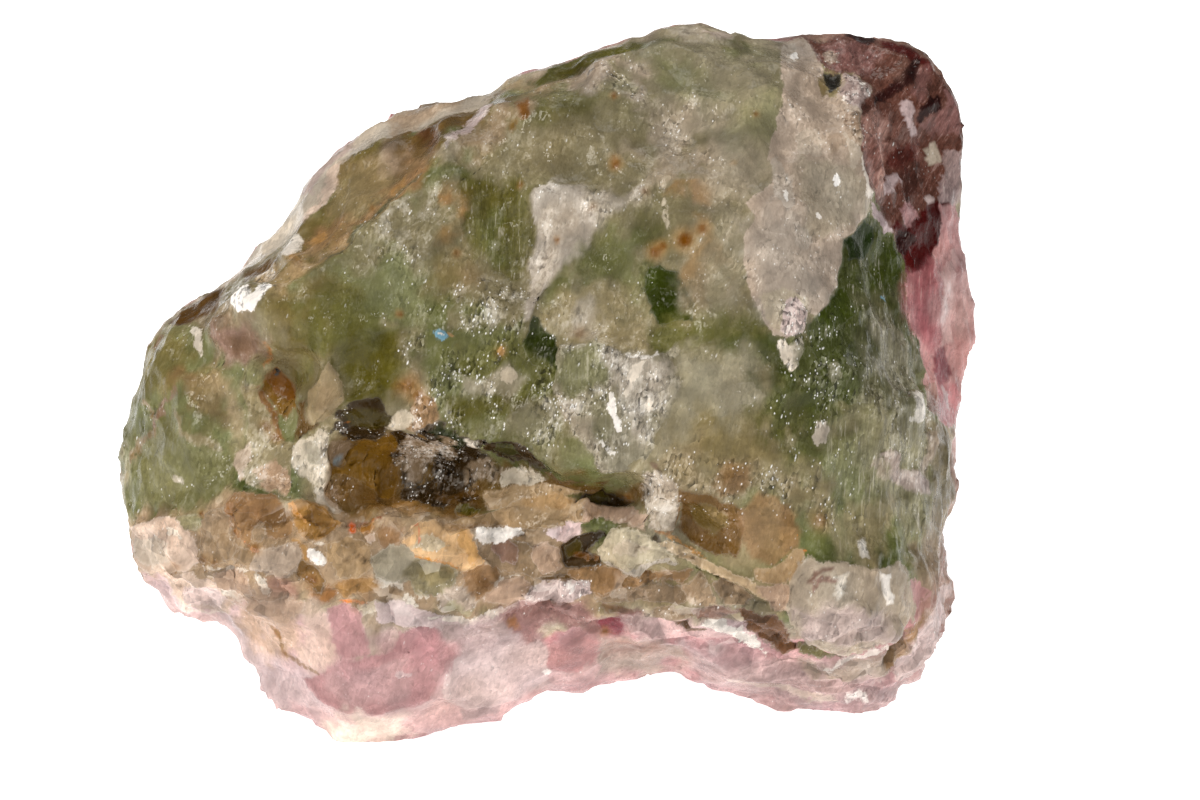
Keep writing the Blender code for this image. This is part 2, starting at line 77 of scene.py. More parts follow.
FRONT = {
    "thin upper edge": [
        (543, 79, 0.5), (600, 62, 0.8), (645, 52, 0.3), (700, 46, -0.6), (745, 50, -0.8), (783, 55, -1.2),
    ],
    "upper left rim": [
        (258, 262, 0.5), (300, 212, 0.3), (355, 152, 0), (380, 135, 0), (424, 127, 0), (465, 112, 0.2),
    ],
    "upper left flank": [
        (290, 258, 4.4), (330, 225, 4), (380, 178, 3.5), (420, 148, 3), (455, 124, 3),
    ],
    "ridge": [
        (500, 104, 2.6), (465, 137, 5), (430, 162, 6), (390, 200, 7), (350, 240, 8), (325, 262, 8.5),
        (290, 287, 8.5), (262, 305, 8.2),
    ],
    "main face, top": [
        (540, 110, 4.5), (600, 95, 3.8), (650, 92, 3.6), (700, 90, 3.4), (750, 90, 3.0), (776, 110, 3.4),
        (500, 150, 6.2), (560, 160, 6.6), (620, 150, 6.0), (680, 150, 6.0), (740, 160, 6.4), (768, 168, 5.6),
    ],
    "main face, middle": [
        (440, 200, 7.8), (480, 220, 7.3), (515, 215, 7.2), (535, 190, 8.3), (590, 200, 8.4), (640, 215, 8.3),
        (700, 215, 8.7), (745, 230, 8.3), (400, 250, 8.9), (450, 265, 9.0), (512, 262, 8.6), (560, 270, 9.9),
        (520, 325, 10.8), (600, 262, 8.9), (610, 320, 10.6), (655, 285, 9.2), (690, 300, 9.0), (740, 300, 10.4),
    ],
    "main face, low": [
        (330, 310, 9.6), (390, 320, 10.0), (445, 330, 10.6), (485, 345, 10.1), (300, 350, 9.0),
        (345, 380, 9.5), (400, 380, 10.2), (430, 370, 10.6), (500, 385, 10.4), (540, 332, 9.6),
        (556, 400, 11.0), (600, 345, 11.8), (650, 350, 12.2), (682, 345, 11.1), (590, 440, 12.2),
        (670, 400, 12.2), (700, 330, 10.3), (750, 335, 10.8), (790, 352, 10.3), (740, 400, 11.4),
        (700, 450, 12.0), (780, 450, 11.4), (760, 490, 11.2), (690, 492, 11.5), (825, 505, 9.8),
    ],
    "frosted band": [
        (800, 62, -0.6), (832, 78, 0.0), (862, 80, -0.2), (868, 120, 2.2), (868, 170, 3.2), (864, 203, 3.8),
        (845, 280, 6.4), (802, 312, 9.4), (776, 335, 11.0), (800, 120, 3.4), (800, 200, 6.6), (790, 260, 8.7),
        (835, 200, 5.4), (830, 140, 3.4),
    ],
    "upper right shoulder": [
        (876, 60, -4.0), (884, 95, -1.6), (888, 145, -0.6), (886, 200, 0.2), (920, 72, -4.4), (930, 110, -3.6),
        (925, 160, -2.9), (920, 210, -2.6), (948, 120, -5.2), (948, 190, -4.9),
    ],
    "right side": [
        (872, 230, 2.6), (900, 262, 0.2), (860, 290, 5.7), (900, 325, 2.2), (850, 340, 7.4), (918, 300, -0.4),
        (918, 400, 1.6), (875, 400, 6.0), (832, 400, 9.4), (842, 450, 9.0), (892, 450, 5.4), (932, 440, -0.2),
        (936, 485, -1.0), (880, 510, 6.2), (915, 520, 2.2), (850, 540, 8.3), (896, 545, 5.6), (934, 560, -1.5),
        (940, 250, -4.2), (950, 300, -4.2), (950, 350, -4.6), (942, 385, -4.4),
    ],
    "lower right block": [
        (790, 570, 8.5), (785, 600, 7.8), (830, 560, 9.3), (880, 560, 8.4), (903, 580, 6.6), (908, 618, 5.0),
        (840, 600, 10.0), (870, 612, 9.0), (800, 622, 7.0), (838, 643, 6.4), (882, 636, 6.0),
    ],
    "groove under the block": [
        (798, 637, 4.4), (840, 655, 3.4), (890, 646, 2.8), (918, 636, 1.4), (924, 600, 0.8),
    ],
    "lower right edge": [
        (850, 672, 2.8), (882, 672, 1.4), (904, 662, 0.0), (936, 605, -2.2), (930, 640, -2.8), (840, 692, -1.4),
        (870, 694, -2.6), (800, 685, -0.4), (760, 676, 1.4), (720, 668, 2.0), (700, 660, 2.4), (676, 656, 1.6),
    ],
    "lower lip of the main face": [
        (300, 420, 8.0), (340, 432, 9.3), (380, 428, 9.7), (420, 440, 10.1), (470, 445, 10.4), (510, 450, 10.7),
        (560, 458, 11.3), (600, 470, 11.9), (635, 464, 12.8), (665, 478, 11.9), (702, 503, 10.8), (745, 512, 10.9),
        (792, 522, 10.2),
    ],
    "hollow under the lip": [
        (348, 458, 6.4), (380, 468, 6.0), (430, 474, 5.8), (480, 474, 6.6), (530, 474, 7.4), (575, 486, 7.7),
        (610, 493, 7.3), (634, 492, 7.9), (345, 490, 6.4), (400, 495, 6.4), (600, 504, 7.8), (620, 504, 8.0),
    ],
    "ledge, upper edge": [
        (330, 503, 8.0), (380, 512, 8.4), (430, 516, 8.8), (480, 508, 9.0), (540, 500, 9.3), (580, 510, 9.8),
        (640, 516, 10.4), (664, 540, 10.1),
    ],
    "ledge, front": [
        (245, 490, 8.0), (290, 500, 8.7), (310, 540, 9.0), (360, 535, 8.9), (410, 530, 9.4), (450, 540, 9.9),
        (475, 560, 9.6), (500, 530, 9.0), (540, 542, 9.8), (560, 520, 9.9), (566, 545, 8.2), (600, 528, 8.6),
        (640, 548, 10.3), (676, 560, 9.8), (720, 577, 9.5), (770, 592, 8.8), (730, 548, 8.9), (690, 520, 9.2),
        (770, 540, 9.6),
    ],
    "lower ledge": [
        (240, 560, 7.4), (300, 580, 8.0), (360, 592, 8.2), (420, 600, 8.4), (456, 598, 8.8), (500, 590, 8.6),
        (540, 580, 8.8), (600, 586, 8.3), (650, 588, 8.4), (700, 600, 8.2), (750, 618, 7.4), (600, 566, 8.2),
        (680, 582, 8.6),
    ],
    "ledge, lower edge": [
        (200, 575, 4.2), (250, 604, 5.6), (300, 612, 6.6), (350, 606, 7.2), (400, 625, 7.6), (440, 624, 8.0),
        (500, 611, 7.9), (530, 599, 7.7), (600, 608, 7.4), (650, 624, 7.0), (700, 628, 6.4), (760, 646, 4.8),
    ],
    "pink base": [
        (240, 632, 0.0), (270, 650, 2.0), (290, 690, 1.0), (320, 645, 5.2), (330, 692, 3.6), (390, 636, 6.6),
        (440, 640, 7.0), (380, 662, 6.8), (400, 700, 4.6), (446, 690, 4.6), (456, 645, 5.6), (470, 700, 3.0),
        (350, 722, 2.2), (420, 722, 2.2), (510, 660, 4.2), (520, 684, 2.0), (556, 640, 4.6), (580, 674, 2.0),
        (620, 640, 4.6), (640, 660, 2.2), (550, 680, 1.2),
    ],
    "left lobe": [
        (160, 350, 0.0), (182, 330, 1.2), (215, 308, 3.2), (234, 286, 3.4), (137, 430, 0.4), (150, 382, 1.6),
        (185, 380, 4.6), (190, 430, 5.7), (216, 400, 5.4), (240, 400, 5.6), (240, 450, 5.9), (200, 480, 5.3),
        (152, 480, 2.6), (132, 476, -0.4), (142, 512, 0.6), (190, 508, 4.6), (228, 500, 6.2), (165, 532, 3.2),
        (148, 557, 0.2), (182, 590, 0.2), (212, 600, 1.2),
    ],
    "patch above the lobe": [
        (215, 322, 5.2), (240, 332, 6.7), (262, 346, 7.4), (250, 366, 6.6), (225, 356, 5.8), (248, 296, 6.6),
    ],
    "recess": [(268, 372, 5.4), (285, 378, 5.0), (294, 412, 5.5), (272, 412, 5.6)],
    "angular flake": [(326, 364, 10.2), (345, 398, 10.6), (312, 428, 9.6), (300, 394, 8.4)],
    "broken patch": [
        (294, 440, 8.0), (330, 440, 8.6), (340, 472, 7.6), (305, 476, 7.6), (254, 462, 6.6), (288, 488, 7.8),
        (262, 438, 6.2),
    ],
}

BACK = {
    "under the upper edge": [
        (560, 92, -8), (680, 66, -9), (800, 62, -10.5), (900, 78, -11), (430, 150, -9),
    ],
    "upper back": [
        (330, 235, -10), (410, 190, -12.5), (520, 160, -15.5), (640, 140, -17.5), (770, 145, -18.5),
        (880, 150, -16.5), (938, 180, -12),
    ],
    "middle back": [
        (180, 370, -8), (270, 330, -14), (400, 290, -18), (520, 260, -21), (650, 240, -22.8), (780, 250, -22.5),
        (890, 270, -18.5), (945, 310, -12.5),
    ],
    "lower back": [
        (165, 450, -9), (250, 430, -15.5), (390, 400, -20), (540, 385, -23.4), (700, 380, -24.6),
        (830, 395, -23), (915, 430, -16.5), (938, 470, -11),
    ],
    "back foot": [
        (180, 540, -9.5), (250, 560, -15), (340, 598, -19.5), (430, 622, -21.2), (500, 636, -21.4),
        (580, 638, -21.6), (650, 622, -22.8), (790, 604, -22), (890, 592, -16),
    ],
    "underside": [
        (230, 600, -9), (300, 655, -10.5), (330, 706, -6), (390, 718, -6), (420, 676, -14), (500, 670, -16),
        (575, 670, -16.4), (620, 648, -17), (560, 655, -8), (640, 640, -10), (690, 636, -15), (760, 650, -15),
        (760, 674, -10), (850, 694, -10), (870, 654, -15), (925, 620, -9),
    ],
}



# Colours as they look in plain light, red green blue of 255. A few mixing colours for the whole stone.
PALETTE = {
    "sage": (136, 134, 102), "khaki": (150, 138, 106), "olive": (114, 101, 60), "moss": (90, 88, 46), "leaf": (118, 122, 84),
    "green": (104, 110, 68), "deep": (62, 72, 32), "pine": (76, 82, 48), "teal": (80, 82, 62), "slate": (118, 116, 90),
    "grey": (144, 138, 118), "mist": (172, 159, 142), "bone": (206, 194, 174), "cream": (188, 178, 154),
    "frost": (176, 161, 147), "white": (226, 217, 204), "snow": (252, 249, 246), "taupe": (150, 130, 106),
    "beige": (146, 131, 102), "tan": (172, 146, 112), "honey": (176, 136, 84), "gold": (204, 158, 92),
    "orange": (222, 172, 108), "ochre": (156, 116, 62), "rust": (140, 78, 28), "sienna": (206, 116, 34),
    "amber": (118, 88, 40), "umber": (106, 80, 46), "dark": (58, 46, 14), "black": (26, 18, 6), "brown": (132, 100, 68),
    "coffee": (106, 74, 50), "sand": (192, 170, 138), "shell": (206, 184, 168), "petal": (214, 181, 180),
    "blush": (226, 204, 205), "peach": (198, 160, 134), "salmon": (196, 144, 124), "pink": (196, 147, 147),
    "rose": (188, 130, 135), "raspberry": (158, 94, 100), "mauve": (158, 120, 110), "plum": (128, 88, 82),
    "burgundy": (104, 70, 62), "wine": (80, 30, 26), "dusk": (134, 106, 96),
    "ash": (155, 148, 130), "lichen": (158, 152, 122), "drab": (128, 120, 94), "thicket": (86, 80, 30), "fern": (98, 98, 56),
    "forest": (38, 52, 12), "ink": (22, 32, 2), "haze": (178, 170, 160), "fog": (190, 180, 166), "pearl": (238, 232, 224),
    "fawn": (184, 158, 138), "wheat": (210, 176, 134), "clay": (144, 114, 82), "bronze": (146, 96, 42), "cocoa": (112, 72, 22),
    "bark": (90, 64, 30), "caramel": (196, 138, 64), "flame": (210, 98, 14), "coal": (36, 12, 2), "oyster": (206, 187, 186),
    "lilac": (168, 148, 148), "orchid": (190, 170, 172), "flesh": (178, 136, 138), "rosewood": (144, 106, 104),
    "azure": (120, 170, 196), "emerald": (84, 132, 96), "maroon": (50, 10, 6), "garnet": (126, 56, 68), "stone": (134, 116, 96), "biscuit": (168, 145, 119),
}

# Zones of the front, later ones over earlier ones. Each row: colour, strength, softness mm, ragged edge mm, lift mm,
# effects, then the corners as drawn. Effects: v veil of white fractures, s sparkle, c clear, r rust, u upright streaks,
# g slanting streaks, e a pale edge that the code does not read, d darker. A row with w is a line that many drawing
# units wide, not a filled zone.
# a thin slit, cut in a little, with painted shade in it
# painted glint on the pale flake
# painted glints: small white dots on the frosted band
# painted glow: the thin bottom fringe made near white
# painted highlight: a bright white flash where the frosted band ends
# painted highlight: a bright white spot on the flakes
# painted highlight: a pale streak down the pink
# painted highlight: the bright upright streak down the patch
# painted highlight: the white dot on the blue spot
# painted shade: black in the notch, which is cut in a little
# painted shadow: a dark line in the groove under the block
# slits between the flakes, cut in a little; their dark colour is painted shade
ZONES = """
# main face, broad tones
drab .9 2.5 1.2 0 v.25 : 250,300 330,240 420,170 500,110 600,65 700,42 790,45 800,160 860,200 860,420 820,520 700,500 560,460 420,440 300,420 250,360
grey .8 2.0 .9 0 v.12 : 640,48 700,40 780,38 782,100 776,165 740,168 700,152 690,118 660,100 640,76
sage .75 1.2 .6 0 v.05 : 735,100 778,92 778,124 768,160 750,164 736,132
green .6 1.0 .8 0 v.1 : 664,62 700,64 726,90 702,102 670,92
grey .5 1.4 1.0 0 v.3 : 702,60 740,70 740,100 716,96 728,80 706,80
moss .7 .9 .7 0 v.15 : 500,118 540,98 600,94 606,104 588,120 560,132 528,122
drab .7 1.5 1.0 0 v.3 : 470,130 520,120 560,132 640,120 640,186 560,186 500,180 466,160
mist .75 1.4 1.0 0 v.6s.5 : 640,104 700,100 716,120 690,150 700,180 650,186 640,150
mist .55 1.6 .9 0 v.3 : 690,150 760,160 770,190 745,205 700,200
frost .85 .8 .7 .05 v.7s.5 : 560,82 600,62 640,56 648,74 626,96 600,92 580,84
sage .7 .4 .5 0 v.2s.7 : 608,76 632,68 634,84 618,96 604,90
taupe .8 .8 .7 .05 v.45 : 418,164 458,134 500,100 530,90 540,96 506,130 474,152 430,170
taupe .6 1.0 .6 0 v.3 : 478,104 520,86 560,84 556,96 520,104 490,116
deep .7 1.0 .7 0 v.15 : 414,166 462,160 468,184 440,188 412,184
drab .85 .9 .8 .05 v.55u.3 : 374,232 396,204 432,192 442,214 442,252 424,266 390,266
bronze .6 .6 .5 0 r.3 : 441,192 456,188 463,204 456,216 446,208
honey .5 .8 .6 0 : 450,208 462,206 466,236 452,244 446,226
leaf .8 1.2 .9 0 v.4s.2 : 330,264 380,262 460,262 462,330 400,340 350,330 322,300
leaf .7 1.3 .8 0 v.15 : 345,284 396,274 412,300 398,330 350,330
olive .9 1.6 .8 0 v.08 : 264,296 300,276 332,262 350,300 346,360 330,360 300,380 284,366 272,340
fern .85 1.4 .8 0 v.08 : 300,300 352,296 400,330 400,400 345,400 336,374 326,358 300,372
thicket .85 1.0 .6 0 v.1 : 340,344 398,340 404,372 398,400 346,402 340,380
brown .35 .9 .7 0 v.1 : 432,262 470,254 484,288 442,302 430,282
moss .8 .7 .7 -.1 v.15u.7 : 465,182 480,179 520,181 534,190 530,222 527,262 518,272 500,264 480,258 470,232 466,206
thicket .5 .6 .5 0 u.6 : 478,188 516,186 514,216 506,240 488,228
green .5 .5 .5 .1 v.5u.8 : 484,222 500,214 504,256 490,262
drab .7 .8 .7 .05 v.65s.4 : 400,340 432,336 440,372 414,384 398,366
drab .8 .8 .7 .05 v.7s.5 : 466,290 520,290 530,330 500,345 470,340 458,310
deep .97 .3 .6 0 v.05s.3d.5 : 538,318 548,318 556,335 560,350 562,370 558,385 545,395 535,385 525,365 522,350 535,335
green .8 .9 .8 0 v.5s.8 : 430,300 520,330 530,372 556,395 560,440 500,440 430,425 420,370
fern .8 .7 .6 -.1 v.2s.8 : 462,344 520,340 530,356 546,376 556,392 520,398 480,386 462,368
ash .8 .4 .5 .15 v.8s.6 : 468,370 486,380 508,368 518,382 506,402 484,402 466,390
bone .7 .15 .2 .1 v1s1 : 502,370 510,366 518,376 512,384 504,380
thicket .7 .6 .5 0 v.4s.7 : 440,398 480,396 520,402 560,404 556,424 520,420 480,424 446,420
grey .6 .6 .6 .1 v.75s.6 : 500,418 548,408 560,432 540,440 506,436
haze .95 .35 .4 .12 v.6u.2 : 533,200 546,190 566,185 580,190 592,210 600,228 590,240 585,256 570,266 556,278 548,292 541,306 532,322 525,325 522,310 530,286 528,262 532,230
mist .5 .7 .5 0 v.7 : 540,222 560,204 576,214 566,250 546,286 536,300 534,270
haze .7 .5 .5 .08 v.65s.3 : 560,184 600,184 626,194 642,188 632,206 612,216 600,236 590,214
leaf .85 1.2 .7 -.05 v.15 : 600,244 622,232 642,230 648,262 642,292 620,286 600,281 585,291 566,299 555,290 563,276 580,262
fern .6 .8 .6 -.1 v.1c.1 : 594,250 616,238 630,262 622,282 598,278 574,288 562,290 566,276 582,264
moss .5 1.0 .7 0 : 636,214 660,216 664,250 646,262 634,240
deep .97 .3 .4 0 v0s0d.35 : 648,268 664,261 680,271 690,292 696,306 690,319 672,323 656,319 648,300 645,280
deep .5 .35 .4 0 v.15s.3 : 640,262 656,260 658,282 646,300 640,284
fern .9 .8 .5 -.1 v.12 : 690,318 715,311 745,311 766,322 763,339 740,346 705,346 680,346 650,346 644,330 660,322
deep .7 .6 .4 0 : 722,334 744,338 770,344 766,360 730,362 700,354 704,344
khaki .9 .6 .6 .1 v.5 : 564,300 580,288 600,278 618,290 622,310 641,320 652,340 620,346 580,346 560,336 555,314
haze .5 .4 .5 .1 v.7 : 572,306 596,296 606,316 590,338 570,334
grey .8 1.4 .7 .05 v.3 : 690,226 746,205 748,300 736,312 705,306 690,290
clay .35 .9 .6 0 r.15 : 692,256 718,250 716,290 700,300 692,280
ochre .35 .4 .5 0 r.35w8 : 690,212 706,230 700,256 686,276
ochre .5 .5 .5 0 r.25w8 : 664,196 688,187 706,198
bone .6 .2 .2 .05 v.7w4 : 660,184 664,206 668,236
azure .9 .12 .1 0 : 434,331 441,326 449,329 452,336 445,341 437,338
pearl .9 .1 .1 .1 w5 : 440,332 446,334
honey .6 .12 .12 0 w4 : 452,330 457,336
cocoa .6 .12 .12 0 w3 : 457,340 462,345
gold .6 .15 .15 0 r.2w5 : 500,349 503,354
# white crystalline patch in the middle
grey .95 .3 .35 .15 v.6s.5u.35 : 562,345 590,342 625,350 655,352 680,344 683,352 673,362 674,400 666,416 655,436 645,456 635,463 615,471 600,463 588,451 578,431 565,411 552,396 556,376
haze .7 .5 .4 .1 v.9s.7u.5 : 604,352 650,352 672,362 670,400 654,426 640,440 632,410 622,380 604,372
green .6 .4 .4 -.05 v.4u.6 : 563,350 600,346 602,372 590,398 566,402 558,384
slate .6 .3 .3 -.1 v.2s.4 : 594,396 608,392 614,414 618,436 606,440 592,430
mist .6 .4 .4 .1 v.8s.8 : 556,400 580,404 592,430 606,462 588,452 570,424
snow .85 .12 .08 .15 w7 : 604,372 610,388 613,405 619,430
white .8 .15 .1 .1 w8 : 641,362 631,376 627,396
snow .7 .15 .1 .1 w6 : 603,438 608,448 614,456
white .7 .12 .1 .1 w6 : 648,402 653,414
snow .6 .12 .1 .1 w5 : 580,399 588,402
snow .6 .15 .15 .1 v.8w4 : 625,352 650,356 672,346
fog .5 .15 .15 .1 v.8w4 : 674,362 676,380 673,402
# beige and olive clear part on the right of it
grey .9 1.2 .5 0 v.05 : 673,360 700,350 740,352 762,366 772,400 790,430 784,470 750,480 700,478 656,466 646,456 668,420 675,400
olive .7 1.6 .6 0 v.05 : 690,426 730,416 790,420 800,470 760,480 700,470 680,450
deep .75 1.2 .6 0 v.05s.2 : 756,366 800,372 826,400 830,470 790,470 772,420
deep .7 .9 .6 0 v.15s.5 : 764,340 800,342 830,380 826,412 790,404 770,374
grey .55 .3 .3 .08 v.4 : 733,382 750,379 763,394 752,403 735,401
beige .55 .7 .6 .05 v.5s1 : 640,462 700,446 712,470 760,462 780,480 836,478 830,520 790,516 740,500 690,500 660,486
cocoa .6 .6 .4 .05 : 720,474 740,470 748,488 736,498 722,492
wine .5 .2 .2 0 r.5w3 : 637,455 646,463 668,478 682,496
# frosted band
frost .97 .12 .12 .1 v.3s.15 : 784,38 800,34 816,40 824,50 826,62 830,82 836,94 842,80 844,68 858,65 870,74 877,88 868,100 864,120 863,150 866,175 869,200 866,214 856,226 846,238 844,250 846,262 840,276 838,288 826,298 822,310 812,318 800,313 798,330 785,340 772,336 762,325 755,311 748,296 743,270 742,240 752,220 744,206 758,196 768,188 774,176 766,160 773,140 777,120 781,100 780,75
haze .45 .9 .5 0 v.25 : 746,226 790,218 812,240 820,280 790,330 765,322 748,290
ash .6 .5 .4 0 v.2 : 800,165 850,160 864,200 850,226 826,240 806,230 798,196
fog .7 .12 .1 .04 v.3 : 846,134 856,124 861,140 860,160 850,168 846,150
pearl .8 .1 .1 .08 w5 : 863,158 866,180 868,200
fog .5 .12 .12 0 v.4 : 796,134 818,126 824,140 822,156 798,158
stone .4 .2 .2 0 v.1 : 826,134 844,130 848,146 830,150
fog .6 .15 .15 0 v.6s.3 : 783,42 798,38 800,52 788,60 783,60
haze .6 .15 .2 0 v.6s.4 : 766,166 776,162 790,182 792,206 784,214 776,200 772,184
haze .5 .15 .2 0 v.6s.4 : 790,224 806,226 816,240 806,250 794,240
cream .5 .3 .3 .03 v.7s.4 : 752,296 776,290 800,300 800,326 782,336 766,330
lilac .75 .12 .15 .08 v.8s.8 : 846,66 860,68 872,78 876,92 866,106 852,98 840,86 846,76
brown .5 .15 .2 0 v.6s.6 : 846,104 864,108 862,128 862,150 852,140 844,120
snow 1 .1 .06 .05 w6 : 835,176 838,184
snow .9 .1 .06 0 w5 : 783,196 784,206
snow .9 .1 .06 0 w4 : 816,212 821,217
snow .9 .1 .06 0 w5 : 793,51 799,47
snow .9 .1 .06 0 w5 : 863,76 869,79
snow .8 .1 .06 0 w4 : 845,90 847,95
black .9 .1 .1 -.2 : 827,64 844,66 842,76 834,86 829,78
olive .8 .12 .1 -.05 : 821,66 828,70 832,86 828,92 820,80
oyster .9 .15 .2 .1 v.9s1 : 780,304 792,300 800,316 798,334 786,340 776,332
white .95 .12 .15 .12 v1s1 : 774,348 778,339 786,348 796,338 800,350 794,366 788,373 780,362
leaf .7 .12 .12 0 : 784,338 790,338 791,346 786,348
# right side
pine .97 .2 .25 -.1 u.7v.15s.1 : 868,210 880,225 896,240 902,262 913,300 921,330 919,372 900,400 870,410 840,400 820,396 808,352 800,326 812,318 822,310 838,290 840,276 846,262 844,240 856,226 866,214
forest .85 .12 .15 0 u.25 : 845,240 862,222 874,228 870,258 852,260
deep .8 .2 .25 0 u.3s.2 : 812,320 826,302 838,290 848,288 854,316 834,332 816,328
deep .7 .5 .4 0 u.6 : 882,236 900,250 908,292 890,304 878,280
pine .5 .5 .5 .05 u1v.5 : 848,266 862,262 868,300 862,340 850,320
ash .45 .5 .5 .05 u1v.5 : 868,330 900,310 916,340 914,390 880,400 866,370
pine .8 .7 .5 -.05 v.25s.7 : 800,330 846,330 868,360 866,398 830,408 800,392 792,366
slate .7 .3 .4 .1 v.6 : 818,360 832,358 836,374 824,380
sage .85 1.0 .7 0 u.8v.4s.3 : 830,408 900,398 950,412 954,520 920,540 870,520 826,470
pine .6 .6 .5 -.05 u.5s.3 : 800,396 832,398 836,420 820,436 802,424
leaf .7 .9 .6 0 u.6v.2s.2 : 822,430 866,420 880,470 892,520 856,520 826,480
slate .6 .9 .6 0 u.6v.5s.4 : 862,400 900,396 908,430 886,450 866,436
snow .9 .2 .25 .15 v.8u.5 : 903,395 913,395 912,421 902,420
orchid .6 .25 .3 .15 v.8u.4 : 884,456 892,449 902,470 916,472 926,480 922,496 908,490 890,476
frost .75 .2 .25 .15 v.7u.5 : 918,436 930,430 936,440 929,462 923,482 917,466 925,450
frost .6 .3 .3 .1 v.7u.5 : 872,458 882,452 888,474 878,480
haze .8 .12 .12 .12 v.9s1 : 812,420 822,417 826,430 823,442 815,445 811,432
khaki .8 .9 .6 0 u.3s.2 : 850,496 882,500 890,540 880,566 850,560 846,520
lichen .5 .8 .6 0 u.4 : 836,506 856,502 858,560 840,556
snow .5 .3 .3 .1 v.7s.4 : 858,540 868,536 870,552 860,556
stone .7 .8 .4 0 v.25 : 926,424 960,420 962,520 948,560 946,604 916,596 912,544 926,500
thicket .5 .7 .4 0 u.5v.3 : 934,450 958,450 956,500 938,510
grey .35 1.0 .5 0 u.9v.5 : 860,300 904,290 918,340 924,420 930,520 880,520 850,420
azure .8 .1 .1 0 w4 : 884,294 890,298
snow .9 .1 .08 .1 w4 : 887,298 890,304
honey .6 .1 .1 0 w3 : 882,301 886,306
azure .5 .1 .1 0 w4 : 874,250 878,255
# upper right: wine-red layer
burgundy .97 .12 .15 0 g.8v.15s.1 : 804,34 822,38 846,30 880,32 906,42 932,56 944,70 958,86 966,110 968,150 964,190 958,210 942,212 930,220 918,232 906,238 895,240 880,206 869,190 864,165 862,150 864,120 868,100 877,88 870,74 858,65 843,66 828,62 820,50
maroon .95 .12 .15 0 g.2 : 843,26 882,30 872,42 858,40
wine .8 .3 .3 0 g.5 : 880,34 908,42 930,56 938,70 926,66 906,54 884,46
rosewood .6 .4 .3 0 g.7v.3 : 826,44 846,40 868,44 884,52 878,66 858,62 838,60
frost .6 .15 .2 0 v.9s.8 : 828,50 838,46 842,56 832,58
maroon .8 .2 .25 0 g.8 : 880,90 898,78 916,62 928,58 922,72 904,88 892,98 882,102
dusk .45 .4 .2 0 g.9 : 890,76 906,60 914,58 902,78
rosewood .6 .35 .2 0 g.9v.3 : 912,90 920,72 932,62 936,84 926,100 918,96
maroon .95 .3 .3 0 g.8 : 926,104 934,92 948,90 950,108 938,116 928,120
rosewood .8 .2 .15 0 v.3g.5 : 950,84 958,92 966,106 952,104
rosewood .5 .3 .2 0 g.9 : 932,124 944,112 964,104 966,128 944,136
mauve .75 .3 .3 0 g1v.3s.3 : 866,112 884,104 896,120 900,146 884,180 880,196 870,186 866,150
plum .45 .3 .25 0 g1 : 866,150 880,140 892,130 884,160 876,186 868,176
wine .6 .4 .3 0 g.9 : 896,144 912,138 930,140 926,158 908,166 898,160
maroon .5 .4 .25 0 g1 : 906,190 916,172 930,160 932,176 920,200 908,206
lilac .6 .2 .2 0 u.6g.3 : 948,146 962,150 964,200 952,214 944,200 946,170
orchid .95 .1 .08 .05 v.2 : 905,100 911,97 919,108 926,118 932,127 930,134 920,139 914,134 906,116
orchid .9 .1 .08 .05 v.2 : 882,190 888,180 896,174 906,171 908,176 896,188 888,193
fog .8 .1 .1 .05 v.4 : 938,146 944,143 946,158 940,162
oyster .8 .12 .12 .05 v.5 : 928,198 938,196 938,203 928,204
flesh .8 .15 .15 0 g.7v.2 : 902,206 916,202 922,216 918,226 910,228 904,218
orchid .95 .1 .1 .04 v.3 : 868,200 878,208 886,214 894,224 893,234 884,232 874,216
wine .98 .1 .1 0 c.1 : 892,230 899,220 910,226 922,216 928,207 940,200 952,202 950,236 944,262 932,282 912,276 904,258 898,242
maroon .8 .2 .2 0 g.3 : 896,228 908,228 916,238 908,256 900,244
maroon .35 .3 .2 0 : 930,210 942,204 940,236 928,256 922,240
pink .97 .12 .15 0 c.2u.3 : 942,203 958,205 962,225 974,260 979,300 977,346 966,382 962,420 950,427 935,421 925,390 922,350 914,300 908,275 924,272 932,256 938,236
raspberry .9 .7 .4 0 u.5 : 908,275 938,266 938,330 924,350 914,310
petal .6 .25 .3 0 u.4 : 944,262 956,250 958,340 948,346 938,304
petal .6 .6 .4 0 c.2 : 952,240 976,262 976,330 960,340 956,290
blush .8 .15 .15 .05 w5 : 950,284 949,306 945,326
garnet .8 .3 .3 0 u.3 : 934,352 950,346 956,368 944,392 934,380
raspberry .5 .3 .3 0 u.3 : 924,330 940,326 944,346 930,356
mauve .7 .25 .3 0 u.6 : 924,384 934,384 938,414 928,416
raspberry .7 .35 .3 0 u.4 : 934,388 958,382 960,424 940,424
orchid .8 .12 .12 .05 w4 : 944,386 947,400 950,410
# flank and rim at the upper left
amber .25 .9 .5 0 : 262,262 300,222 354,150 382,130 424,124 430,158 395,200 325,262
olive .9 .6 .5 0 v.2 : 262,262 300,222 354,150 382,130 424,124 498,92 480,114 455,130 430,158 395,200 352,240 325,262 290,285 266,290
umber .8 .5 .5 0 v.15 : 384,132 425,126 434,116 472,104 484,108 456,130 430,152 420,162 414,176 396,172 386,160 380,146
wine .5 .5 .4 0 : 418,130 434,124 436,142 420,152
frost .5 .6 .5 0 v.3 : 384,136 400,138 392,160 382,170 376,152
olive .6 .5 .4 0 v.1 : 350,150 376,134 378,150 356,170 340,178
moss .5 .6 .4 0 v.1 : 322,196 350,180 352,204 330,220 312,222
biscuit .3 .8 .5 0 v.2 : 330,170 400,150 430,150 400,195 350,235 320,230
clay .8 .5 .6 0 r.3s.2 : 305,230 330,221 352,213 380,192 400,168 412,158 419,168 400,191 380,207 350,236 335,247 310,252
honey .6 .25 .3 0 r.4 : 308,232 318,226 322,238 314,246
